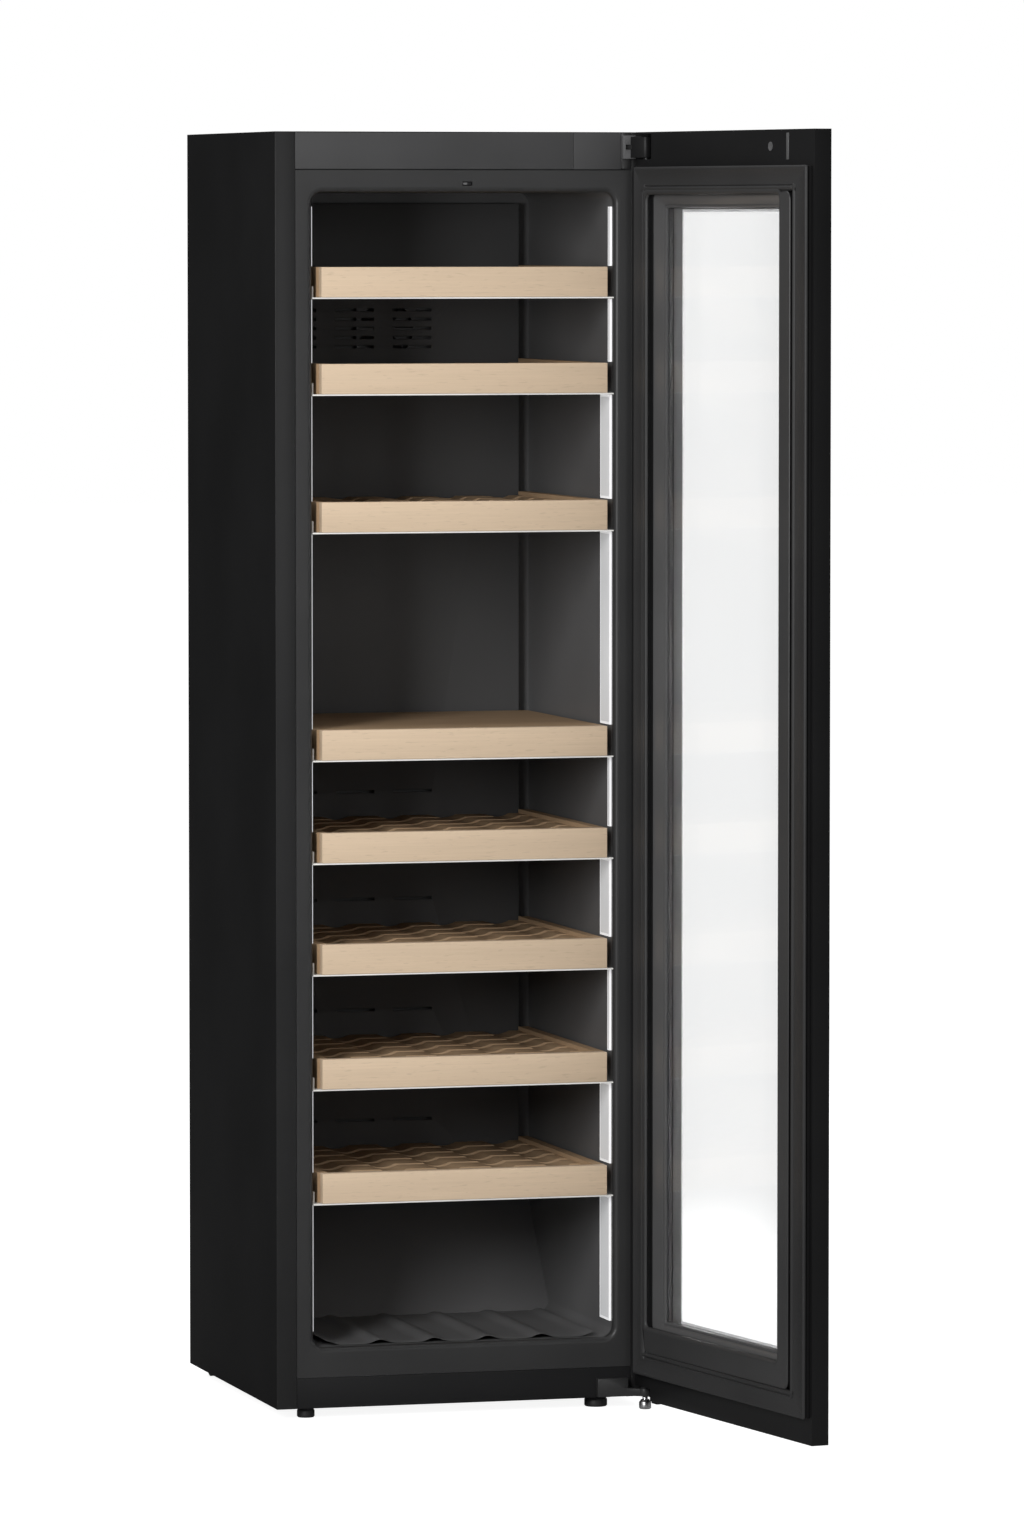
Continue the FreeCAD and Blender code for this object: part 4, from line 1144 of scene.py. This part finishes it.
    def lower_housing(self) -> None:
        """The black housing under the door's lower hinge corner."""
        low, _ = self.local_box("door_shell")
        housing = Bench.block("door_foot_housing", Vector((-0.055, -0.0075, low.z - 0.003)),
                              Vector((-0.0375, 0.0085, low.z + 0.002)))
        Bench.ease(housing, 0.0012, 2)
        self.set_in(housing, DOOR_PLASTIC, "dark_plastic")

    def top_marks(self) -> None:
        """The plug and the short bright catch on the strip above the seal."""
        _, high = self.local_box("door_shell")
        face = high.y
        plug = Bench.rod("door_top_plug", Vector((-0.420, face + 0.0004, 1.860)), 0.0065, 0.0016, "Y", 40)
        Bench.pick(plug, "FACE", lambda f: f.normal.y > 0.9)
        bpy.ops.mesh.inset(thickness=0.0022)
        bpy.ops.transform.translate(value=(0, -0.0007, 0))
        bpy.ops.object.mode_set(mode="OBJECT")
        Bench.ease(plug, 0.0003, 2)
        self.set_in(plug, HINGE_PLASTIC, "grey_plastic")
        catch = Bench.block("door_top_catch", Vector((-0.477, face - 0.0005, 1.841)),
                            Vector((-0.470, face + 0.0012, 1.879)))
        Bench.ease(catch, 0.0005, 2)
        self.set_in(catch, BEAD_PLASTIC, "grey_plastic")


@dataclass
class Hinges:
    """The brackets, the cover and the pins that carry the door."""

    hood_radius: float = 0.0085
    hood_inset: float = 0.0015
    hood_overlap: float = 0.002

    def build(self) -> None:
        """Dress the hinge pieces."""
        Bench.refine("upper_hinge_bracket", DARK_STEEL, "grey_steel", 0.0006)
        Bench.refine("upper_hinge_cover", HINGE_PLASTIC, "grey_plastic", 0.0008)
        Bench.refine("lower_hinge_bracket", FRAME_PLASTIC, "grey_steel", 0.0008)
        Bench.repaint("hinge_pins", DARK_STEEL)
        self.hood()

    def hood(self) -> None:
        """The black hood over the upper arm, round at the pin and open to the cover."""
        pin = Vector(JOINTS["door_hinge"]["pos_m"])
        cover_low, cover_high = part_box("upper_hinge_cover")
        bottom, top = cover_low.z + self.hood_inset, cover_high.z - self.hood_inset
        root = Vector((cover_high.x - self.hood_overlap, (cover_low.y + cover_high.y) / 2, 0.0))
        reach = root - Vector((pin.x, pin.y, 0.0))
        hood = Bench.block("hinge_hood", Vector((0.0, -self.hood_radius, bottom)),
                           Vector((reach.length, self.hood_radius, top)))
        def upright_at_pin(edge: bpy.types.MeshEdge) -> bool:
            """Whether an edge stands upright at the pin's end."""
            first, second = (hood.data.vertices[v].co for v in edge.vertices)
            return max(first.x, second.x) < 0.001 and abs(first.z - second.z) > 0.01

        Bench.pick(hood, "EDGE", upright_at_pin)
        bpy.ops.transform.translate(value=(-self.hood_radius * 0.98, 0, 0))
        bpy.ops.mesh.bevel(offset=self.hood_radius * 0.96, segments=8, affect="EDGES")
        bpy.ops.object.mode_set(mode="OBJECT")
        Bench.ease(hood, 0.0008, 2)
        turn = math.atan2(reach.y, reach.x)
        Bench.place(hood, Matrix.Translation(Vector((pin.x, pin.y, 0.0))) @ Matrix.Rotation(turn, 4, "Z"))
        Bench.hand_over(hood, DOOR_PLASTIC, "dark_plastic", Body.CABINET.value)


# ------------------------------------------------------- feet and machinery


class Footing:
    """The levelling feet and the rear rollers."""

    def build(self) -> None:
        """Dress the feet, rollers, brackets and axles."""
        for node in ("foot_left", "foot_right"):
            self.foot(node)
        Bench.refine("hinge_foot", BRIGHT_STEEL, "bright_steel", 0.0004, "hinge_foot")
        for node in ("roller_left", "roller_right"):
            Bench.refine(node, FOOT_PLASTIC, "grey_plastic", body=node)
        Bench.refine("roller_brackets", GREY_STEEL, "grey_steel", 0.0004)
        Bench.repaint("roller_axles", BRIGHT_STEEL)

    def foot(self, node: str) -> None:
        """A levelling foot with an eased rim.

        Args:
            node: The CAD node of the foot.
        """
        foot = Bench.copy_of(node, f"{node}_pad")
        Bench.ease(foot, 0.0006, 2)
        Bench.hand_over(foot, FOOT_PLASTIC, "grey_plastic", node, node)


class Machine:
    """The cooling machine, fans, panels and inner pieces."""

    def build(self) -> None:
        """Dress the pieces that keep their CAD shape or a softened copy of it."""
        Bench.refine("compressor", COMPRESSOR_PAINT, "black_steel")
        Bench.refine("compressor_mounts", FOOT_PLASTIC, "mount_rubber", 0.0008)
        Bench.refine("power_inlet", INLET_PLASTIC, "black_gloss", 0.0004)
        finishes = {
            "base_pan": GREY_STEEL, "condenser": ALUMINIUM, "insulation": FOAM,
            "evaporator_plate": ALUMINIUM, "control_board": CIRCUIT, "fan_frame": FAN_PLASTIC,
            "fan_rotor": FAN_PLASTIC, "condenser_fan_frame": FAN_PLASTIC,
            "condenser_fan_rotor": FAN_PLASTIC,
        }
        for node, finish in finishes.items():
            Bench.repaint(node, finish)


# ------------------------------------------------------------------- studio


@dataclass(frozen=True)
class AreaLamp:
    """One soft box, aimed at a point."""

    name: str
    place: tuple[float, float, float]
    aim: tuple[float, float, float]
    size: tuple[float, float]
    power: float

    def build(self) -> None:
        """Hang the lamp and aim it."""
        data = bpy.data.lights.new(self.name, "AREA")
        data.shape = "RECTANGLE"
        data.size, data.size_y = self.size
        data.energy = self.power
        lamp = bpy.data.objects.new(self.name, data)
        lamp.location = self.place
        direction = Vector(self.aim) - Vector(self.place)
        lamp.rotation_euler = direction.to_track_quat("-Z", "Y").to_euler()
        bpy.context.scene.collection.objects.link(lamp)


@dataclass
class Studio:
    """Floor, world, lamps and camera."""

    datum: Datum
    camera_place: tuple[float, float, float] = (-3.374, -12.196, 1.756)
    yaw_degrees: float = 15.78
    pitch_degrees: float = 3.63
    lens: float = 202.6
    floor_size: float = 80.0
    floor_glow: float = 0.9
    room_light: float = 0.36
    room_reflection: float = 0.16
    lamps: tuple[AreaLamp, ...] = (
        AreaLamp("key_box", (-3.1, -3.6, 2.4), (0.0, 0.1, 1.0), (1.2, 2.6), 178.0),
        AreaLamp("front_box", (0.6, -4.8, 1.9), (0.0, 0.2, 1.0), (1.2, 2.2), 16.0),
        AreaLamp("rear_box", (2.6, 4.2, 2.6), (0.0, 0.3, 1.0), (2.4, 2.4), 95.0),
        AreaLamp("top_box", (0.0, 0.2, 4.0), (0.0, 0.1, 0.0), (2.5, 2.5), 45.0),
    )

    def build(self) -> None:
        """Set the stage."""
        self.colour_management()
        self.camera()
        self.floor()
        self.world()
        for lamp in self.lamps:
            lamp.build()

    def colour_management(self) -> None:
        """Show colours as they are written."""
        bpy.context.scene.view_settings.view_transform = "Standard"

    def camera(self) -> None:
        """Stand the camera in front of the cabinet, to its left."""
        data = bpy.data.cameras.new("camera")
        data.lens = self.lens
        data.sensor_width = 36.0
        data.clip_end = 200.0
        camera = bpy.data.objects.new("camera", data)
        camera.location = self.datum.at(*self.camera_place)
        tilt = math.radians(90.0 - self.pitch_degrees)
        camera.rotation_euler = (tilt, 0.0, math.radians(-self.yaw_degrees))
        bpy.context.scene.collection.objects.link(camera)
        bpy.context.scene.camera = camera

    def floor(self) -> None:
        """A white floor that keeps the cabinet's shadow."""
        bpy.ops.object.select_all(action="DESELECT")
        bpy.ops.mesh.primitive_plane_add(size=self.floor_size)
        floor = Bench.named("studio_floor")
        recipe = Recipe("studio_floor")
        tree = recipe.tree
        tree.nodes.remove(recipe.shader)
        matt = recipe.node("ShaderNodeBsdfDiffuse")
        matt.inputs["Color"].default_value = (0.42, 0.42, 0.42, 1.0)
        glow = recipe.node("ShaderNodeEmission")
        glow.inputs["Strength"].default_value = self.floor_glow
        both = recipe.node("ShaderNodeAddShader")
        recipe.link(matt.outputs[0], both.inputs[0])
        recipe.link(glow.outputs[0], both.inputs[1])
        path = recipe.node("ShaderNodeLightPath")
        seen = self.any_of(recipe, path, ("Is Camera Ray", "Is Transmission Ray"))
        choice = recipe.node("ShaderNodeMixShader")
        recipe.link(seen, choice.inputs[0])
        recipe.link(matt.outputs[0], choice.inputs[1])
        recipe.link(both.outputs[0], choice.inputs[2])
        recipe.link(choice.outputs[0], tree.nodes["Material Output"].inputs["Surface"])
        floor.data.materials.append(recipe.material)

    def any_of(self, recipe: Recipe, path: bpy.types.Node, names: Sequence[str]) -> bpy.types.NodeSocket:
        """One if any of a Light Path node's named outputs is one.

        Args:
            recipe: The tree's owner.
            path: The Light Path node.
            names: The outputs to join.

        Returns:
            The joined value.
        """
        value = path.outputs[names[0]]
        for name in names[1:]:
            highest = recipe.node("ShaderNodeMath", operation="MAXIMUM")
            recipe.link(value, highest.inputs[0])
            recipe.link(path.outputs[name], highest.inputs[1])
            value = highest.outputs[0]
        return value

    def world(self) -> None:
        """A white backdrop to the eye and through glass, and a plain room as a light."""
        world = bpy.data.worlds.new("studio")
        world.use_nodes = True
        bpy.context.scene.world = world
        tree = world.node_tree
        backdrop = tree.nodes["Background"]
        backdrop.inputs["Color"].default_value = (1.0, 1.0, 1.0, 1.0)
        path = tree.nodes.new("ShaderNodeLightPath")
        plain = tree.nodes.new("ShaderNodeValue")
        plain.outputs[0].default_value = self.room_light
        strength = plain.outputs[0]
        levels = {"Is Glossy Ray": self.room_reflection, "Is Transmission Ray": 1.0, "Is Camera Ray": 1.0}
        for ray, level in levels.items():
            mix = tree.nodes.new("ShaderNodeMix")
            tree.links.new(path.outputs[ray], mix.inputs["Factor"])
            tree.links.new(strength, mix.inputs[2])
            mix.inputs[3].default_value = level
            strength = mix.outputs[0]
        tree.links.new(strength, backdrop.inputs["Strength"])


def main() -> None:
    """Build the cabinet piece by piece."""
    logging.basicConfig(level=logging.INFO, format="%(name)s %(message)s")
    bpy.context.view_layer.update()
    datum = Datum()
    Studio(datum).build()
    for part in (Carcass(datum), Lights(), Shelves(), Door(), Hinges(), Footing(), Machine()):
        LOG.info("building %s", type(part).__name__)
        part.build()


if __name__ == "__main__":
    main()
